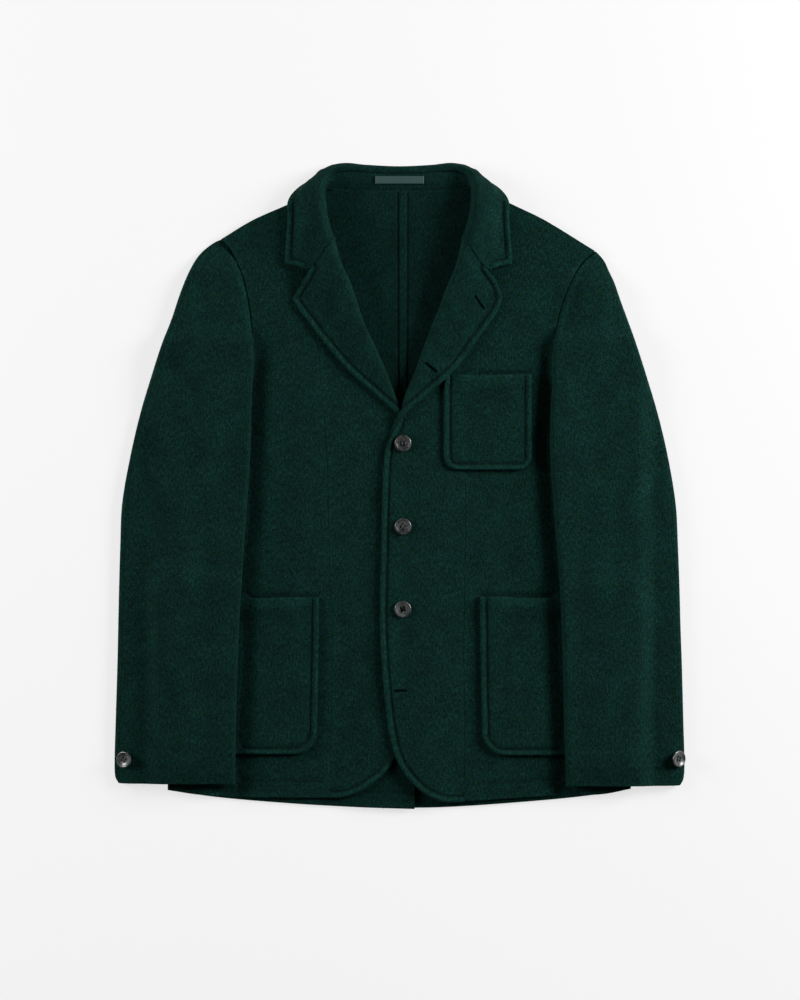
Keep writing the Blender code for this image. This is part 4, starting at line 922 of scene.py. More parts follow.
def standGrid(count):
    # the stand's outer face, from its foot on the back up to the collar's roll
    look, half = standLook, []
    for (footX, footY), row in zip(standFoot, [look["start"]] + collarRows[2:]):
        beside = float(ease((footX - 40.0) / 30.0))
        behind = float(ease((footX - 78.0) / 8.0))
        corner = behind * float(ease((footY - 316.0) / 12.0))
        footZ = float(backTop(footX, footY)) + mix(look["rise"], look["riseSide"], beside)
        foot = (footX, footY - look["footDrop"] * (1.0 - behind), footZ + look["riseCorner"] * corner)
        drop = mix(look["parting"], look["partingSide"], beside)
        top = (row[0] + drop * beside / 2, row[1] - mix(drop, 0.0, beside) - cloth["seam"], row[2] - drop)
        half.append(np.linspace(foot, top, count))
    half = np.array(half)
    left, right = half.copy(), half[-2::-1].copy()
    left[..., 0] *= -1.0
    right[..., 0] += collarLook["shiftRight"] * ease(right[..., 0] / 60.0)
    return np.concatenate([left, right])


def makeStand():
    coarse = standGrid(standLook["rows"])
    along = spacedShares(standLook["along"], 2.4, (0.0, 1.0), (0.0, 1.0))
    grid = np.stack([pointsAt(smoothLine(line), along) for line in coarse.transpose(1, 0, 2)], axis=1)
    up = np.linspace(0.0, 1.0, standLook["rows"])[None, :]
    relief = 0.5 * (up < 0.12) - 0.5 * bell(up, 0.14, 0.05) - 0.9 * bell(1.0 - up, 0.0, 0.08)
    relief = relief + 0.15 * noiseField(grid[..., 0], grid[..., 1], 14.0, 81)
    clothPiece("collarStandBand", grid, relief, cloth["thick"], 1.0, woolInside, "collar_stand",
               standLook["cut"], ["back_left", "back_right"], np.full(relief.shape, 0.5), turnWeave=True)


for side in ("left", "right"):
    makeLapel(side)
makeCollar()
makeStand()
print("lapels and collar ready")


# the neck label, bare: a small woven piece with turned ends
labelLook = {"halfWidth": 28.2, "low": 0.45, "high": 0.85, "thick": 0.8, "raise": 1.7, "columns": 60,
             "rows": 12, "height": 10.0, "round": 0.35, "fold": 3.0, "foldHalf": 0.5, "foldDepth": 0.25,
             "cut": (0.057, 0.010)}


def labelMaterial():
    made = plainMaterial("wovenLabel", "label", (0.020, 0.060, 0.055), 0.6, 0.35)
    tree = made.node_tree
    place = addNode(tree, "ShaderNodeTexCoord")
    waves = addNode(tree, "ShaderNodeTexWave", {"Scale": 900.0}, bands_direction="X")
    wire(tree, (place.outputs["Object"], waves.inputs["Vector"]))
    addBump(tree, tree.nodes["Principled BSDF"], waves.outputs["Fac"], 0.25, 0.0002)
    return made


def makeLabel():
    middle = standGrid(4)
    centre = middle[len(middle) // 2]
    low = mix(centre[0], centre[-1], labelLook["low"])
    high = mix(centre[0], centre[-1], labelLook["high"])
    xs = np.linspace(-labelLook["halfWidth"], labelLook["halfWidth"], labelLook["columns"])
    shares = np.linspace(0.0, 1.0, labelLook["rows"])
    grid = np.zeros((len(xs), len(shares), 3))
    grid[..., 0] = xs[:, None]
    for axis in (1, 2):
        grid[..., axis] = mix(low[axis], high[axis], shares)[None, :]
    grid[..., 2] += labelLook["raise"]
    ends = labelLook["halfWidth"] - np.abs(grid[..., 0])
    edges = np.minimum(shares, 1.0 - shares)[None, :] * labelLook["height"]
    relief = roundEdge(np.minimum(ends, edges), labelLook["round"])
    relief = relief - labelLook["foldDepth"] * bell(ends, labelLook["fold"], labelLook["foldHalf"])
    clothPiece("neckLabel", grid, relief, labelLook["thick"], 1.0, wovenLabel, "label", labelLook["cut"],
               ["collar_stand"], np.zeros(relief.shape), turnWeave=True)


wovenLabel = labelMaterial()
makeLabel()


# sleeves: y, inner and outer edge from the centre line, one row for each section
sleeveRows = {
    "left": [
        (279.5, 200.0, 219.5), (272.0, 195.0, 228.5), (262.0, 190.2, 236.5), (243.0, 182.0, 246.2),
        (222.0, 176.8, 254.5), (195.0, 172.5, 263.5), (163.0, 171.3, 275.4), (130.0, 170.6, 286.4),
        (90.0, 171.0, 298.8), (40.0, 172.4, 310.8), (-20.0, 175.9, 321.4), (-70.0, 179.6, 323.6),
        (-118.0, 182.6, 325.0), (-160.0, 185.0, 325.9), (-210.0, 187.0, 327.0), (-275.0, 188.7, 329.0),
        (-322.0, 189.5, 330.2), (-337.0, 189.7, 329.2), (-344.5, 189.7, 325.0)],
    "right": [
        (265.5, 219.4, 234.2), (259.0, 212.0, 238.6), (250.0, 204.4, 242.4), (236.0, 197.6, 248.8),
        (215.0, 190.2, 256.0), (190.0, 183.8, 265.2), (165.0, 179.8, 273.6), (130.0, 177.8, 285.2),
        (90.0, 174.8, 297.6), (40.0, 174.0, 309.8), (-20.0, 178.0, 320.0), (-70.0, 182.0, 322.7),
        (-118.0, 185.2, 324.5), (-160.0, 187.3, 325.6), (-210.0, 188.8, 327.3), (-275.0, 190.2, 329.0),
        (-322.0, 191.9, 330.2), (-339.0, 192.4, 329.0), (-347.0, 192.6, 325.0)],
}
sleeveLook = {
    "peak": {"left": [(285.6, 206.2, 208.2), (283.0, 203.4, 214.0)],
             "right": [(272.1, 225.6, 227.4), (269.2, 222.8, 230.8)]},
    "height": 9.1, "foldInner": 5.6, "foldOuter": 9.5, "foldUnder": 5.6, "foldCuff": 10.0, "head": 4.0,
    "tip": 0.3, "tipLength": 38.0, "capThin": 0.7, "capEnd": 165.0, "capBlend": 26.0, "bodySide": 274.0,
    "ramp": 24.0, "armholeGap": -0.8, "hindSeam": 5.6, "pitch": 3.1, "dome": 2.2, "cuffStitch": 21.0,
    "sag": 0.7, "sagRun": 8.0, "innerRun": 30.0, "seed": {"left": 91, "right": 92},
    # how much higher the inner fold stands, down the sleeve
    "inner": {"left": [(190.0, 0.0), (150.0, 0.8), (100.0, 2.4), (0.0, 3.6), (-60.0, 3.6), (-200.0, 2.4),
                       (-344.0, 1.0)],
              "right": [(190.0, 0.0), (150.0, 1.6), (115.0, 5.0), (60.0, 6.0), (0.0, 5.0), (-100.0, 4.2),
                        (-200.0, 2.4), (-344.0, 1.0)]},
    "cut": {"upper": (0.150, 0.624), "under": (0.165, 0.625)},
    "creases": {
        "left": [(-235, 205, 100, 40, 12, 0.8, 5), (-262, 150, 112, 45, 12, -0.8, -6),
                 (-205, 60, 78, 70, 14, 0.9, 8), (-285, 20, 98, 70, 14, -0.6, -5),
                 (-240, -60, 92, 80, 20, 0.8, 8), (-215, -130, 84, 60, 14, -0.6, 5),
                 (-290, -180, 92, 80, 15, 0.6, -4), (-240, -250, 94, 60, 18, 0.6, 6)],
        "right": [(238, 200, 80, 42, 12, 0.8, -5), (262, 148, 68, 44, 12, -0.8, 6),
                  (206, 60, 102, 66, 14, 0.9, -8), (286, 24, 82, 70, 15, 0.8, 5),
                  (238, -55, 88, 80, 20, 0.8, -8), (214, -140, 96, 60, 14, -0.6, -5),
                  (290, -170, 88, 80, 15, 0.6, 4), (246, -245, 86, 64, 18, 0.6, -6)]},
}


def sleeveFloor(x, y):
    # what the sleeve lies on: the body, or the table beside it
    onBody = ease((sleeveLook["bodySide"] + sleeveLook["ramp"] - np.abs(x)) / sleeveLook["ramp"])
    belowCap = ease((sleeveLook["capEnd"] + sleeveLook["capBlend"] - y) / sleeveLook["capBlend"])
    return (bodyTop(x, y) + cloth["gap"]) * onBody * belowCap


def tipShare(side, y):
    return mix(sleeveLook["tip"], 1.0, ease((sleeveRows[side][0][0] - y) / sleeveLook["tipLength"]))


def foldRound(distance, fold, width):
    inside = 1.0 - np.minimum(distance / (fold * np.minimum(width / 60.0, 1.0)), 1.0)
    return np.sqrt(np.maximum(1.0 - inside * inside, 0.0))


def sleeveSurface(side, inner, outer, y, steps, face):
    # a sleeve's outer face at distances in from its inner edge; face is 1 on top and -1 underneath
    x, width = inner + steps, outer - inner
    free = ease((sleeveLook["capEnd"] + sleeveLook["capBlend"] - y) / sleeveLook["capBlend"])
    floor = sleeveFloor(x, y)
    head = sleeveLook["head"] * ease((y - 120.0) / 80.0) * ease((290.0 - y) / 40.0)
    height = (sleeveLook["height"] + head) * tipShare(side, y)
    height = height + tableValue(sleeveLook["inner"][side], 1, y) * bell(steps, 0.0, sleeveLook["innerRun"])
    middle = floor + height / 2.0
    # the outer fold is softer at the cuff
    fold = sleeveLook["foldOuter"] + sleeveLook["foldCuff"] * ease((-284.0 - y) / 24.0)
    outerRound = foldRound(outer - x, fold if face > 0 else sleeveLook["foldUnder"], width)
    innerRound = foldRound(steps, sleeveLook["foldInner"], width)
    if face > 0:
        share = np.clip(steps / np.maximum(width, 1.0), 0.0, 1.0)
        dome = sleeveLook["dome"] * np.sin(math.pi * share) ** 2 * tipShare(side, y)
        folded = middle + height / 2.0 * outerRound * innerRound + dome
        rise = 1.0 - (1.0 - np.minimum(steps / 22.0, 1.0)) ** 2
        sewn = middle + height / 2.0 * outerRound + dome
        sewn = mix(np.minimum(sideTop(leftRight(side) * x, y), sewn), sewn, rise)
        z = mix(sewn, folded, free)
    else:
        z = mix(middle - height / 2.0 * outerRound, middle - height / 2.0 * outerRound * innerRound, free)
    return np.dstack([leftRight(side) * x, np.broadcast_to(y, x.shape), z])


def makeSleeve(side):
    sign = leftRight(side)
    table = smoothLine(sleeveRows[side], 6)
    table = np.concatenate([sleeveLook["peak"][side], table])
    length = table[0][0] - table[-1][0]
    ys = table[0][0] - length * spacedShares(length, sleeveLook["pitch"], (0.0, 1.0, 2.4), edgeFine)
    order = np.argsort(table[:, 0])
    inner = np.interp(ys, table[order, 0], table[order, 1])
    outer = np.interp(ys, table[order, 0], table[order, 2])
    hole = smoothLine(armholeAndSide[side], 16)[:96]
    falling = hole[np.argsort(hole[:, 1])]
    armholeX = np.abs(np.interp(ys, falling[:, 1], falling[:, 0]))
    capped = ys > sleeveLook["capEnd"]
    inner = np.where(capped, armholeX + sleeveLook["armholeGap"], inner)
    inner = inner - 2.2 * bell(ys, 150.0, 26.0)
    outer = np.maximum(outer, inner + 1.8)
    width = outer - inner
    shrink = np.minimum(width / 60.0, 1.0)[:, None]
    bend = 1.0 - np.cos(np.linspace(0.0, math.pi / 2, 9))
    near = sleeveLook["foldInner"] * bend[None, :] * shrink
    far = width[:, None] - sleeveLook["hindSeam"] * shrink
    count = int((width.max() - 12.0) / sleeveLook["pitch"])
    seamSteps = np.array((3.4, 2.0, 1.1, 0.5, 0.0))[None, :] * shrink
    inside = mix(near[:, -1:], far - seamSteps[:, :1], np.linspace(0.0, 1.0, count)[None, 1:-1])
    upperSteps = np.concatenate([near, inside, far - seamSteps], axis=1)
    downBend = sleeveLook["hindSeam"] * (1.0 - np.cos(np.linspace(math.pi / 2, 0.0, 9)))
    edgeFold = width[:, None] - downBend[None, :] * shrink
    underInside = mix(near[:, -1:], edgeFold[:, :1], np.linspace(0.0, 1.0, count // 2)[None, 1:-1])
    underSteps = np.concatenate([near, underInside, edgeFold], axis=1)
    upBend = (sleeveLook["hindSeam"] - cloth["seam"]) * bend[1:]
    wrapSteps = width[:, None] - upBend[None, :] * shrink
    innerColumn, outerColumn, yColumn = inner[:, None], outer[:, None], ys[:, None]
    upper = sleeveSurface(side, innerColumn, outerColumn, yColumn, upperSteps, 1)
    under = np.concatenate([sleeveSurface(side, innerColumn, outerColumn, yColumn, underSteps, -1),
                            sleeveSurface(side, innerColumn, outerColumn, yColumn, wrapSteps, 1)], axis=1)
    upper[:, 0, 2] += cloth["seam"] / 2
    under[:, 0, 2] -= cloth["seam"] / 2
    # below the armhole nothing carries the sleeve, so its underside sags towards the table
    pastHole = ease((np.abs(under[..., 0]) - armholeX[:, None] + 2.4) / sleeveLook["sagRun"])
    sagging = sleeveLook["sag"] * pastHole * sleeveFloor(under[..., 0], yColumn)
    under[:, :underSteps.shape[1], 2] -= (sagging * ease((yColumn - 62.0) / 24.0))[:, :underSteps.shape[1]]
    guideUpper = np.concatenate([under[:, 1:2], upper, under[:, -2:-1]], axis=1)
    guideUnder = np.concatenate([upper[:, 1:2], under, upper[:, -2:-1]], axis=1)
    thin = tipShare(side, ys) * mix(1.0, sleeveLook["capThin"],
                                    ease((ys - sleeveLook["capEnd"]) / sleeveLook["capBlend"]))
    thin = thin[:, None]
    cuff = (ys - ys[-1])[:, None]
    x, y = upper[..., 0], upper[..., 1]
    seamAway = far - upperSteps
    relief = surface(x, y, sleeveLook["seed"][side], sleeveLook["creases"][side])
    relief = relief * ease(upperSteps / 16.0) * ease(seamAway / 10.0) * ease((ys[0] - y) / 30.0)
    relief = relief + 0.2 * roundEdge(seamAway, 1.1) + roundEdge(np.broadcast_to(cuff, x.shape), 1.4)
    relief = relief - 0.45 * bell(cuff, sleeveLook["cuffStitch"], 1.5)
    armhole = 0.8 * bell(upperSteps, 6.0, 3.2) - 1.3 * bell(upperSteps, 0.0, 2.0)
    relief = relief + armhole * ease((y - sleeveLook["capEnd"]) / 12.0) * ease((283.0 - y) / 12.0)
    edges = np.minimum(np.minimum(cuff + 0.0 * x, upperSteps), 60.0)
    clothPiece("sleeveUpper_" + side, guideUpper, relief, cloth["sleeve"], sign, wool, "sleeve_upper_" + side,
               sleeveLook["cut"]["upper"], ["side_" + side], hairiness(edges), guides=True, thin=thin)
    wrap = wrapSteps.shape[1]
    seamBack = np.full(under.shape[:2], 50.0)
    seamBack[:, -wrap:] = (wrapSteps - wrapSteps[:, -1:])
    reliefUnder = 0.2 * roundEdge(seamBack, 1.1) + roundEdge(np.broadcast_to(cuff, seamBack.shape), 1.2)
    fuzzUnder = np.concatenate([np.full(underSteps.shape, 0.15), np.full(wrapSteps.shape, 5.0)], axis=1)
    fuzzUnder[:, -wrap - 7:-wrap] = 8.0
    clothPiece("sleeveUnder_" + side, guideUnder, reliefUnder, cloth["sleeve"], -sign, wool,
               "sleeve_under_" + side, sleeveLook["cut"]["under"], ["side_" + side], fuzzUnder, guides=True,
               thin=thin)


for side in ("left", "right"):
    makeSleeve(side)
print("sleeves ready")


def clothHeight(name, x, y):
    # the height of a piece's cloth at a plan point, or nothing beside it
    hit = pieces[name]["tree"].ray_cast(Vector((x * mm, y * mm, 0.2)), Vector((0.0, 0.0, -1.0)))[0]
    return None if hit is None else hit.z


def inset(line, distance, side):
    # a line moved to one side of another in plan
    run = unit(np.gradient(line, axis=0))
    return line + np.stack([-run[:, 1], run[:, 0]], axis=1) * distance * side


def placeCopies(tree, points, shape, rotation, scales, finish, end):
    # copies of a shape on points, turned and scaled, as one mesh with its finish
    size = addNode(tree, "ShaderNodeCombineXYZ")
    instance = addNode(tree, "GeometryNodeInstanceOnPoints")
    realize = addNode(tree, "GeometryNodeRealizeInstances")
    painted = addNode(tree, "GeometryNodeSetMaterial")
    wire(tree, *zip(scales, size.inputs), (points, instance.inputs["Points"]),
         (shape, instance.inputs["Instance"]), (rotation, instance.inputs["Rotation"]),
         (size.outputs["Vector"], instance.inputs["Scale"]),
         (instance.outputs["Instances"], realize.inputs["Geometry"]),
         (realize.outputs["Geometry"], painted.inputs["Geometry"]), (finish, painted.inputs["Material"]),
         (painted.outputs["Geometry"], end))


def stitchTree():
    # small rounded stitches along each line of points
    tree = bpy.data.node_groups.new("stitchLine", "GeometryNodeTree")
    start, end = addSockets(tree, {"lines": "Geometry", "pitch": "Float", "length": "Float", "width": "Float",
                                   "finish": "Material"}, {"stitches": "Geometry"})
    curve = addNode(tree, "GeometryNodeMeshToCurve")
    resample = addNode(tree, "GeometryNodeResampleCurve", mode="LENGTH")
    tangent = addNode(tree, "GeometryNodeInputTangent")
    capture = addNode(tree, "GeometryNodeCaptureAttribute")
    capture.capture_items.new("VECTOR", "way")
    turned = addNode(tree, "FunctionNodeAlignRotationToVector", axis="X")
    ball = addNode(tree, "GeometryNodeMeshUVSphere", {"Segments": 6, "Rings": 4, "Radius": 0.5})
    wire(tree, (start["lines"], curve.inputs["Mesh"]), (curve.outputs["Curve"], resample.inputs["Curve"]),
         (start["pitch"], resample.inputs["Length"]), (resample.outputs["Curve"], capture.inputs["Geometry"]),
         (tangent.outputs["Tangent"], capture.inputs["way"]),
         (capture.outputs["way"], turned.inputs["Vector"]))
    placeCopies(tree, capture.outputs["Geometry"], ball.outputs["Mesh"], turned.outputs["Rotation"],
                (start["length"], start["width"], start["width"]), start["finish"], end["stitches"])
    return tree


def napTree():
    # hairs of the nap: thin closed slivers that lean over, more of them where the fuzz value is high
    tree = bpy.data.node_groups.new("napHairs", "GeometryNodeTree")
    given = {"cloth": "Geometry", "density": "Float", "length": "Float", "width": "Float", "lean": "Float",
             "seed": "Int", "finish": "Material"}
    start, end = addSockets(tree, given, {"hairs": "Geometry"})
    fuzz = addNode(tree, "GeometryNodeInputNamedAttribute", {"Name": "fuzz"}, data_type="FLOAT")
    share = addNode(tree, "ShaderNodeMath", operation="MULTIPLY")
    place = addNode(tree, "GeometryNodeInputPosition")
    parts = addNode(tree, "ShaderNodeSeparateXYZ")
    # no hairs so low that they'd run into the table
    offTable = addNode(tree, "FunctionNodeCompare", {1: 0.0028}, data_type="FLOAT", operation="GREATER_THAN")
    scatter = addNode(tree, "GeometryNodeDistributePointsOnFaces")
    lean = addNode(tree, "FunctionNodeRandomValue", {0: (-1.0, -1.0, -1.0), 1: (1.0, 1.0, 1.0)},
                   data_type="FLOAT_VECTOR")
    towards = addNode(tree, "ShaderNodeVectorMath", operation="MULTIPLY_ADD")
    down = addNode(tree, "ShaderNodeVectorMath", {1: (0.0, -0.75, 0.0)}, operation="ADD")
    turned = addNode(tree, "FunctionNodeAlignRotationToVector", axis="Z")
    sliver = addNode(tree, "GeometryNodeMeshCone",
                     {"Vertices": 3, "Radius Top": 0.0, "Radius Bottom": 0.5, "Depth": 1.0})
    length = addNode(tree, "FunctionNodeRandomValue", {2: 0.45, 3: 1.0}, data_type="FLOAT")
    scaled = addNode(tree, "ShaderNodeMath", operation="MULTIPLY")
    wire(tree, (place.outputs["Position"], parts.inputs["Vector"]), (parts.outputs["Z"], offTable.inputs[0]),
         (offTable.outputs["Result"], scatter.inputs["Selection"]),
         (fuzz.outputs["Attribute"], share.inputs[0]), (start["density"], share.inputs[1]),
         (start["cloth"], scatter.inputs["Mesh"]),
         (share.outputs[0], scatter.inputs["Density"]), (start["seed"], scatter.inputs["Seed"]),
         (start["seed"], lean.inputs["Seed"]), (lean.outputs[0], towards.inputs[0]),
         (start["lean"], towards.inputs[1]), (scatter.outputs["Normal"], towards.inputs[2]),
         (towards.outputs[0], down.inputs[0]), (down.outputs[0], turned.inputs["Vector"]),
         (start["seed"], length.inputs["Seed"]), (length.outputs[1], scaled.inputs[0]),
         (start["length"], scaled.inputs[1]))
    placeCopies(tree, scatter.outputs["Points"], sliver.outputs["Mesh"], turned.outputs["Rotation"],
                (start["width"], start["width"], scaled.outputs[0]), start["finish"], end["hairs"])
    return tree


def grown(name, mesh, tree, values):
    # the tree's result as a plain mesh of its own
    source = addObject(name + ".source", mesh)
    modifier = source.modifiers.new("grow", "NODES")
    modifier.node_group = tree
    for item in tree.interface.items_tree:
        if item.in_out == "INPUT" and item.name in values:
            modifier[item.identifier] = values[item.name]
    result = bpy.data.meshes.new_from_object(source.evaluated_get(bpy.context.evaluated_depsgraph_get()))
    bpy.data.objects.remove(source, do_unlink=True)
    result.name = name
    if not result.materials:
        result.materials.append(values["finish"])
    result.shade_smooth()
    addPiece(name, result)


def lineMesh(lines):
    points, edges = [], []
    for line in lines:
        first = len(points)
        points += line
        edges += [(first + k, first + k + 1) for k in range(len(line) - 1)]
    mesh = bpy.data.meshes.new("lines")
    mesh.from_pydata(points, edges, [])
    return mesh


stitchLook = {"weltInset": 7.7, "above": 0.05, "seamInset": 5.4, "frontTop": {"left": -322.0, "right": 70.0},
              "sewn": {"pitch": 0.0036, "length": 0.0026, "width": 0.00065, "finish": thread}}
cuffVents = {"left": [(-320.5, -279.0), (-303.3, -281.6), (-303.3, -305.9)],
             "right": [(311.5, -285.7), (320.5, -282.6), (325.0, -281.4)]}
stitchLines = {}


def addStitches(piece, line):
    # a plan line brought down onto the piece, as points a little above its cloth
    points = []
    for x, y in pointsAt(line, np.linspace(0.0, 1.0, max(int(lineLength(line) / 2.0), 2))):
        z = clothHeight(piece, x, y)
        if z is not None:
            points.append((x * mm, y * mm, z + stitchLook["above"] * mm))
    if len(points) > 2:
        stitchLines.setdefault(piece, []).append(points)


for side in ("left", "right"):
    sign = leftRight(side)
    edge = smoothLine(frontEdge[side])
    edge = edge[(edge[:, 1] < stitchLook["frontTop"][side]) & (edge[:, 0] < 72.0)]
    addStitches("frontPanel_" + side, inset(edge, stitchLook["weltInset"], -sign))
    lapelLine = smoothLine(lapelEdge[side])
    addStitches("lapelFacing_" + side, inset(lapelLine, stitchLook["weltInset"], -sign)[6:-8])
    hemLine = smoothLine(frontHem[side]) + np.array((0.0, bodyLook["hemStitch"]))
    addStitches("sidePanel_" + side, hemLine[np.abs(hemLine[:, 0]) > 84.0])
    addStitches("sleeveUpper_" + side, np.array(cuffVents[side]))
    cuffY, cuffX = sleeveRows[side][-1][0] + sleeveLook["cuffStitch"] - 0.5, sign * sleeveRows[side][-1][1]
    addStitches("sleeveUpper_" + side, np.array([(cuffX, cuffY), (sign * 302.0, cuffY + 1.0)]))
for name, size in pockets.items():
    left, right, low = pocketOutline(size)
    line = pointsAt(np.concatenate([left, low[1:-1], right[::-1]]), np.linspace(0, 1, 160))
    addStitches("patchPocket_" + name, inset(line, stitchLook["weltInset"], 1.0)[2:-2])
for side in ("left", "right"):
    seamX = centreSeam + leftRight(side) * stitchLook["seamInset"]
    addStitches("backPanel_" + side, np.array([(seamX, 338.0), (seamX, 60.0), (seamX, -170.0)]))
stitchGroup = stitchTree()
for name, lines in stitchLines.items():
    grown("stitches." + name, lineMesh(lines), stitchGroup, stitchLook["sewn"])
print("stitches ready")


# buttons: where the flat ones lie, how far a tilted one is turned about the Y axis, and the turn of the holes
buttonRows = {
    "front_1": {"spot": (4.1, 49.6), "spin": 0.0}, "front_2": {"spot": (4.1, -46.7), "spin": -38.0},
    "front_3": {"spot": (3.9, -142.2), "spin": 14.0}, "cuff_left": {"tilt": -27.0, "spin": -35.0},
    "cuff_right": {"tilt": 38.0, "spin": -15.0},
}
buttonLook = {"radius": 9.6, "thick": 3.2, "rim": 2.5, "dish": 1.5, "holeRadius": 1.3,
              "holeOffset": (1.85, 1.9), "segments": 56, "cuffDrop": 3.6, "threadRadius": 0.42,
              "glintStrandRadius": 0.3, "threadArch": 0.45, "threadSunk": 1.6, "threadSteps": 12, "threadCorners": 8}


def hornMaterial():
    # polished dark horn with pale clouds
    made = plainMaterial("polishedHorn", "horn", (0.05, 0.052, 0.052), 0.30, 0.5, 0.12)
    tree = made.node_tree
    place = addNode(tree, "ShaderNodeTexCoord")
    clouds = addNode(tree, "ShaderNodeTexNoise", {"Scale": 160.0, "Detail": 4.0, "Distortion": 1.2})
    colors = addNode(tree, "ShaderNodeValToRGB")
    stops = ((0.36, (0.012, 0.0145, 0.0145, 1.0)), (0.68, (0.078, 0.084, 0.082, 1.0)))
    for element, (position, color) in zip(colors.color_ramp.elements, stops):
        element.position, element.color = position, color
    wire(tree, (place.outputs["Object"], clouds.inputs["Vector"]),
         (clouds.outputs["Fac"], colors.inputs["Fac"]),
         (colors.outputs["Color"], tree.nodes["Principled BSDF"].inputs["Base Color"]))
    return made


def meshFrom(builder, name):
    mesh = bpy.data.meshes.new(name)
    builder.to_mesh(mesh)
    builder.free()
    return mesh


def joinRings(builder, rings, finish=0):
    # faces between each ring of points and the next
    for first, second in zip(rings, rings[1:]):
        for corner in range(len(first)):
            after = (corner + 1) % len(first)
            made = builder.faces.new((first[corner], first[after], second[after], second[corner]))
            made.material_index = finish


def holePlaces():
    across, along = buttonLook["holeOffset"]
    return [(sx * across, sy * along) for sy in (1, -1) for sx in (-1, 1)]


def buttonMesh(name):
    look = buttonLook
    r, t = look["radius"], look["thick"]
    inner = r - look["rim"]
    profile = [(0.0, 0.0), (r - 1.8, 0.0), (r - 0.7, 0.45), (r - 0.08, 1.3), (r, 1.9), (r - 0.25, t - 0.45),
               (r - 0.8, t - 0.08), (r - 1.3, t), (r - 1.8, t - 0.12), (inner, t - 0.5),
               (inner - 0.9, t - 0.85), (inner - 2.1, t - 1.2), (inner - 3.4, t - look["dish"] + 0.06),
               (0.0, t - look["dish"])]
    builder = bmesh.new()
    verts = [builder.verts.new((x * mm, 0.0, z * mm)) for x, z in reversed(profile)]
    edges = [builder.edges.new(pair) for pair in zip(verts, verts[1:])]
    bmesh.ops.spin(builder, geom=verts + edges, cent=(0, 0, 0), axis=(0, 0, 1), angle=2 * math.pi,
                   steps=look["segments"], use_merge=True)
    bmesh.ops.remove_doubles(builder, verts=builder.verts[:], dist=1e-6)
    bmesh.ops.recalc_face_normals(builder, faces=builder.faces[:])
    disc = addObject(name, meshFrom(builder, name))
    drills = bmesh.new()
    for holeX, holeY in holePlaces():
        spot = Matrix.Translation(Vector((holeX, holeY, t / 2)) * mm)
        bmesh.ops.create_cone(drills, cap_ends=True, segments=16, radius1=look["holeRadius"] * mm,
                              radius2=look["holeRadius"] * mm, depth=3 * t * mm, matrix=spot)
    drill = addObject(name + ".drill", meshFrom(drills, name + ".drill"))
    cut = disc.modifiers.new("holes", "BOOLEAN")
    cut.object, cut.operation, cut.solver = drill, "DIFFERENCE", "EXACT"
    result = bpy.data.meshes.new_from_object(disc.evaluated_get(bpy.context.evaluated_depsgraph_get()))
    for item in (disc, drill):
        bpy.data.objects.remove(item, do_unlink=True)
    return result


def threadMesh(pairs):
    # strands from hole to hole, sunk at both ends; the far one of a pair is pale, a painted highlight on the
    # thread
    look = buttonLook
    builder = bmesh.new()
    for (startX, startY), (endX, endY), nudge in pairs:
        # the pale strand stands in for the thread's highlight: painted highlight
        pale = nudge > 0.5
        radius = look["glintStrandRadius"] if pale else look["threadRadius"]
        run = Vector((endX - startX, endY - startY, 0.0))
        across = Vector((-run.y, run.x, 0.0)).normalized()
        rings = []
        for step in range(look["threadSteps"] + 1):
            share = step / look["threadSteps"]
            arch = look["threadArch"] * math.sin(math.pi * min(max(share, 0.06), 0.94)) ** 0.6
            sunk = look["threadSunk"] if share in (0.0, 1.0) else 0.0
            height = look["thick"] - look["dish"] + arch - sunk
            centre = Vector((startX, startY, height)) + run * share + across * nudge
            ring = []
            for corner in range(look["threadCorners"]):
                angle = 2 * math.pi * corner / look["threadCorners"]
                ring.append(builder.verts.new((centre + across * radius * math.cos(angle)
                                               + Vector((0, 0, 1)) * radius * math.sin(angle)) * mm))
            rings.append(ring)
        joinRings(builder, rings, int(pale))
        builder.faces.new(rings[0][::-1])
        builder.faces.new(rings[-1])
    bmesh.ops.recalc_face_normals(builder, faces=builder.faces[:])
    return meshFrom(builder, "strands")


def threadPairs(name):
    a, b, c, d = holePlaces()
    if name == "front_3":
        return [(a, c, 0.0), (b, c, 0.25), (b, d, -0.2)]
    # the strands nudged by 0.65 are the pale ones: painted highlight
    return [(a, c, -0.3), (a, c, 0.65), (b, d, -0.3), (b, d, 0.65)]


horn = hornMaterial()
for name, row in buttonRows.items():
    low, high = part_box("button_" + name)
    turn = Matrix.Rotation(math.radians(row.get("tilt", 0.0)), 4, "Y")
    if "spot" in row:
        centre = Vector((row["spot"][0] * mm, row["spot"][1] * mm, low[2]))
    else:
        centre = (Vector(low) + Vector(high)) / 2 - turn @ Vector((0.0, 0.0, buttonLook["thick"] / 2 * mm))
        centre.z -= buttonLook["cuffDrop"] * mm
    place = Matrix.Translation(centre) @ turn @ Matrix.Rotation(math.radians(row["spin"]), 4, "Z")
    disc, strands = buttonMesh(name), threadMesh(threadPairs(name))
    disc.materials.clear()
    for mesh, finishes in ((disc, (horn,)), (strands, (buttonThread, paintedGlintThread))):
        mesh.transform(place)
        for finish in finishes:
            mesh.materials.append(finish)
        mesh.shade_smooth()
    disc.set_sharp_from_angle(angle=math.radians(38.0))
    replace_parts(addPiece("hornButton." + name, disc), "button_" + name)
    addPiece("buttonThread." + name, strands)
print("buttons ready")


# worked buttonholes: x and y of the two ends, and the piece they're worked in
buttonholes = {
    "lapelHigh": ((86.9, 219.9), (97.9, 205.4), "lapelFacing_right"),
    "lapelLow": ((29.6, 143.0), (43.3, 132.1), "lapelFacing_right"),
    "frontLow": ((-5.8, -236.1), (8.7, -236.1), "frontPanel_right"),
}
holeLook = {"halfWidth": 0.72, "purl": 0.55, "rise": 0.32, "above": 0.15, "steps": 72, "corners": 6}


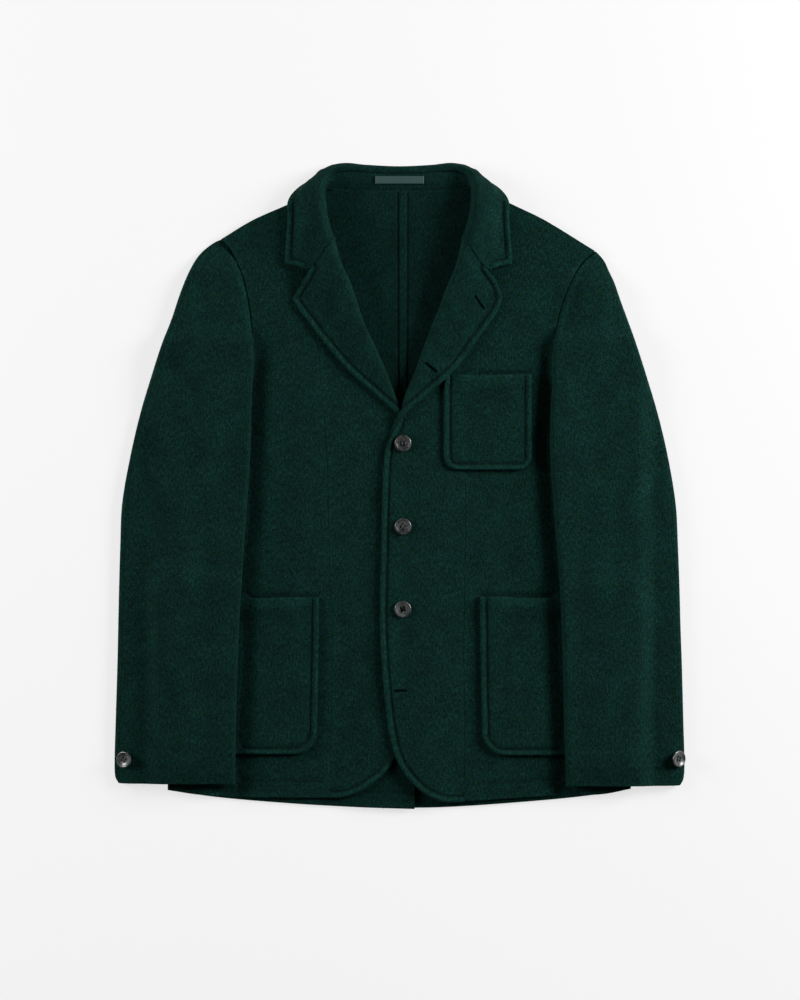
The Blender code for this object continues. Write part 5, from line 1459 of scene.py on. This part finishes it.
def slitPoint(s, straight, half):
    # the point at length s round a slit with round ends, and the direction out of it
    if s < straight:
        return half + s, half, 0.0, 1.0
    s -= straight
    if s < math.pi * half:
        t = s / half
        return half + straight + half * math.sin(t), half * math.cos(t), math.sin(t), math.cos(t)
    s -= math.pi * half
    if s < straight:
        return half + straight - s, -half, 0.0, -1.0
    t = (s - straight) / half
    return half - half * math.sin(t), -half * math.cos(t), -math.sin(t), -math.cos(t)


def buttonholeMesh(start, end, piece):
    # a low purled ring round a slit, laid on the cloth
    builder = bmesh.new()
    along = Vector((end[0] - start[0], end[1] - start[1]))
    way = along.normalized()
    side = Vector((-way.y, way.x))
    half, count = holeLook["halfWidth"], holeLook["steps"]
    straight = along.length - 2 * half
    around = 2 * straight + 2 * math.pi * half
    rings = []
    for step in range(count):
        u, v, nu, nv = slitPoint(around * step / count, straight, half)
        x, y = start[0] + way.x * u + side.x * v, start[1] + way.y * u + side.y * v
        outX, outY = way.x * nu + side.x * nv, way.y * nu + side.y * nv
        z = clothHeight(piece, x, y) / mm
        rings.append([])
        for corner in range(holeLook["corners"]):
            angle = 2 * math.pi * corner / holeLook["corners"]
            spread, up = holeLook["purl"] * math.cos(angle), holeLook["rise"] * math.sin(angle)
            point = Vector((x + outX * spread, y + outY * spread, z + holeLook["above"] + up))
            rings[-1].append(builder.verts.new(point * mm))
    joinRings(builder, rings + rings[:1])
    bmesh.ops.recalc_face_normals(builder, faces=builder.faces[:])
    return meshFrom(builder, "buttonhole")


holePieces = {}
for name, (start, end, pieceName) in buttonholes.items():
    mesh = buttonholeMesh(start, end, pieceName)
    mesh.materials.append(holeThread)
    mesh.shade_smooth()
    holePieces.setdefault(pieceName, []).append(addPiece("buttonhole." + name, mesh).name)
print("buttonholes ready")


# nap: hairs grown on each cloth piece; the numbers are hairs per square metre
napLook = {"density": 26000.0, "quickShare": 0.3,
           "hair": {"length": 0.0024, "width": 0.00015, "lean": 0.95, "finish": napHair},
           "hidden": {"backPanel_left": 0.25, "backPanel_right": 0.25, "sleeveUnder_left": 0.7,
                      "sleeveUnder_right": 0.7, "collarStandBand": 0.6, "neckLabel": 0.0}}
napGroupTree = napTree()
for number, (name, entry) in enumerate(pieces.items()):
    density = napLook["density"] * napLook["hidden"].get(name, 1.0)
    if density > 0.0:
        grown("nap." + name, entry["object"].data.copy(), napGroupTree,
              {**napLook["hair"], "density": density, "seed": 100 + number})
print("nap ready")

# for each piece: twice the area of each half of its outer face's cells, and the names of what is sewn on it
for name, entry in pieces.items():
    grid = entry["outer"] * mm
    a, b, c, d = grid[:-1, :-1], grid[1:, :-1], grid[1:, 1:], grid[:-1, 1:]
    halves = [np.linalg.norm(np.cross(first, second), axis=-1)
              for first, second in ((b - a, c - a), (c - a, d - a))]
    sewnOn = [o.name for o in bpy.data.objects if o.name in ("nap." + name, "stitches." + name)]
    sewnOn += holePieces.get(name, [])

studio = {"lights": {"softRight": (102.0, 1.2, (2.3, 0.85, 1.1)), "softLeft": (66.0, 1.2, (-2.5, 0.6, 1.0))},
          "world": 0.085, "camera": (0.00058, -0.01595, 4.0), "frameHeight": 1.16, "sensor": 36.0,
          "floorHalf": 6.0, "floorDrop": -0.0004, "floorGlow": 0.72}
half, drop = studio["floorHalf"], studio["floorDrop"]
floorMesh = bpy.data.meshes.new("paleTable")
floorMesh.from_pydata([(-half, -half, drop), (half, -half, drop), (half, half, drop), (-half, half, drop)],
                      [], [(0, 1, 2, 3)])
pale = plainMaterial("paleTable", "none", (0.22, 0.22, 0.22), 0.9, 0.0)
pale.node_tree.nodes["Principled BSDF"].inputs["Emission Color"].default_value = (1.0, 1.0, 1.0, 1.0)
pale.node_tree.nodes["Principled BSDF"].inputs["Emission Strength"].default_value = studio["floorGlow"]
floorMesh.materials.append(pale)
addObject("paleTable", floorMesh)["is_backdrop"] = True

world = bpy.data.worlds.new("studio")
world.use_nodes = True
world.node_tree.nodes["Background"].inputs["Color"].default_value = (1.0, 1.0, 1.0, 1.0)
world.node_tree.nodes["Background"].inputs["Strength"].default_value = studio["world"]
bpy.context.scene.world = world
bpy.context.scene.view_settings.view_transform = "Standard"
for name, (energy, size, place) in studio["lights"].items():
    lightData = bpy.data.lights.new(name, "AREA")
    lightData.shape = "DISK"
    lightData.size = size
    lightData.energy = energy
    light = addObject(name, lightData)
    light.location = place
    light.rotation_euler = (-Vector(place)).to_track_quat("-Z", "Y").to_euler()

cameraData = bpy.data.cameras.new("above")
cameraData.lens = studio["sensor"] * studio["camera"][2] / studio["frameHeight"]
cameraData.sensor_width = studio["sensor"]
cameraData.clip_end = 50.0
camera = addObject("above", cameraData)
camera.location = studio["camera"]
bpy.context.scene.camera = camera

low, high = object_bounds()
print("scene ready")
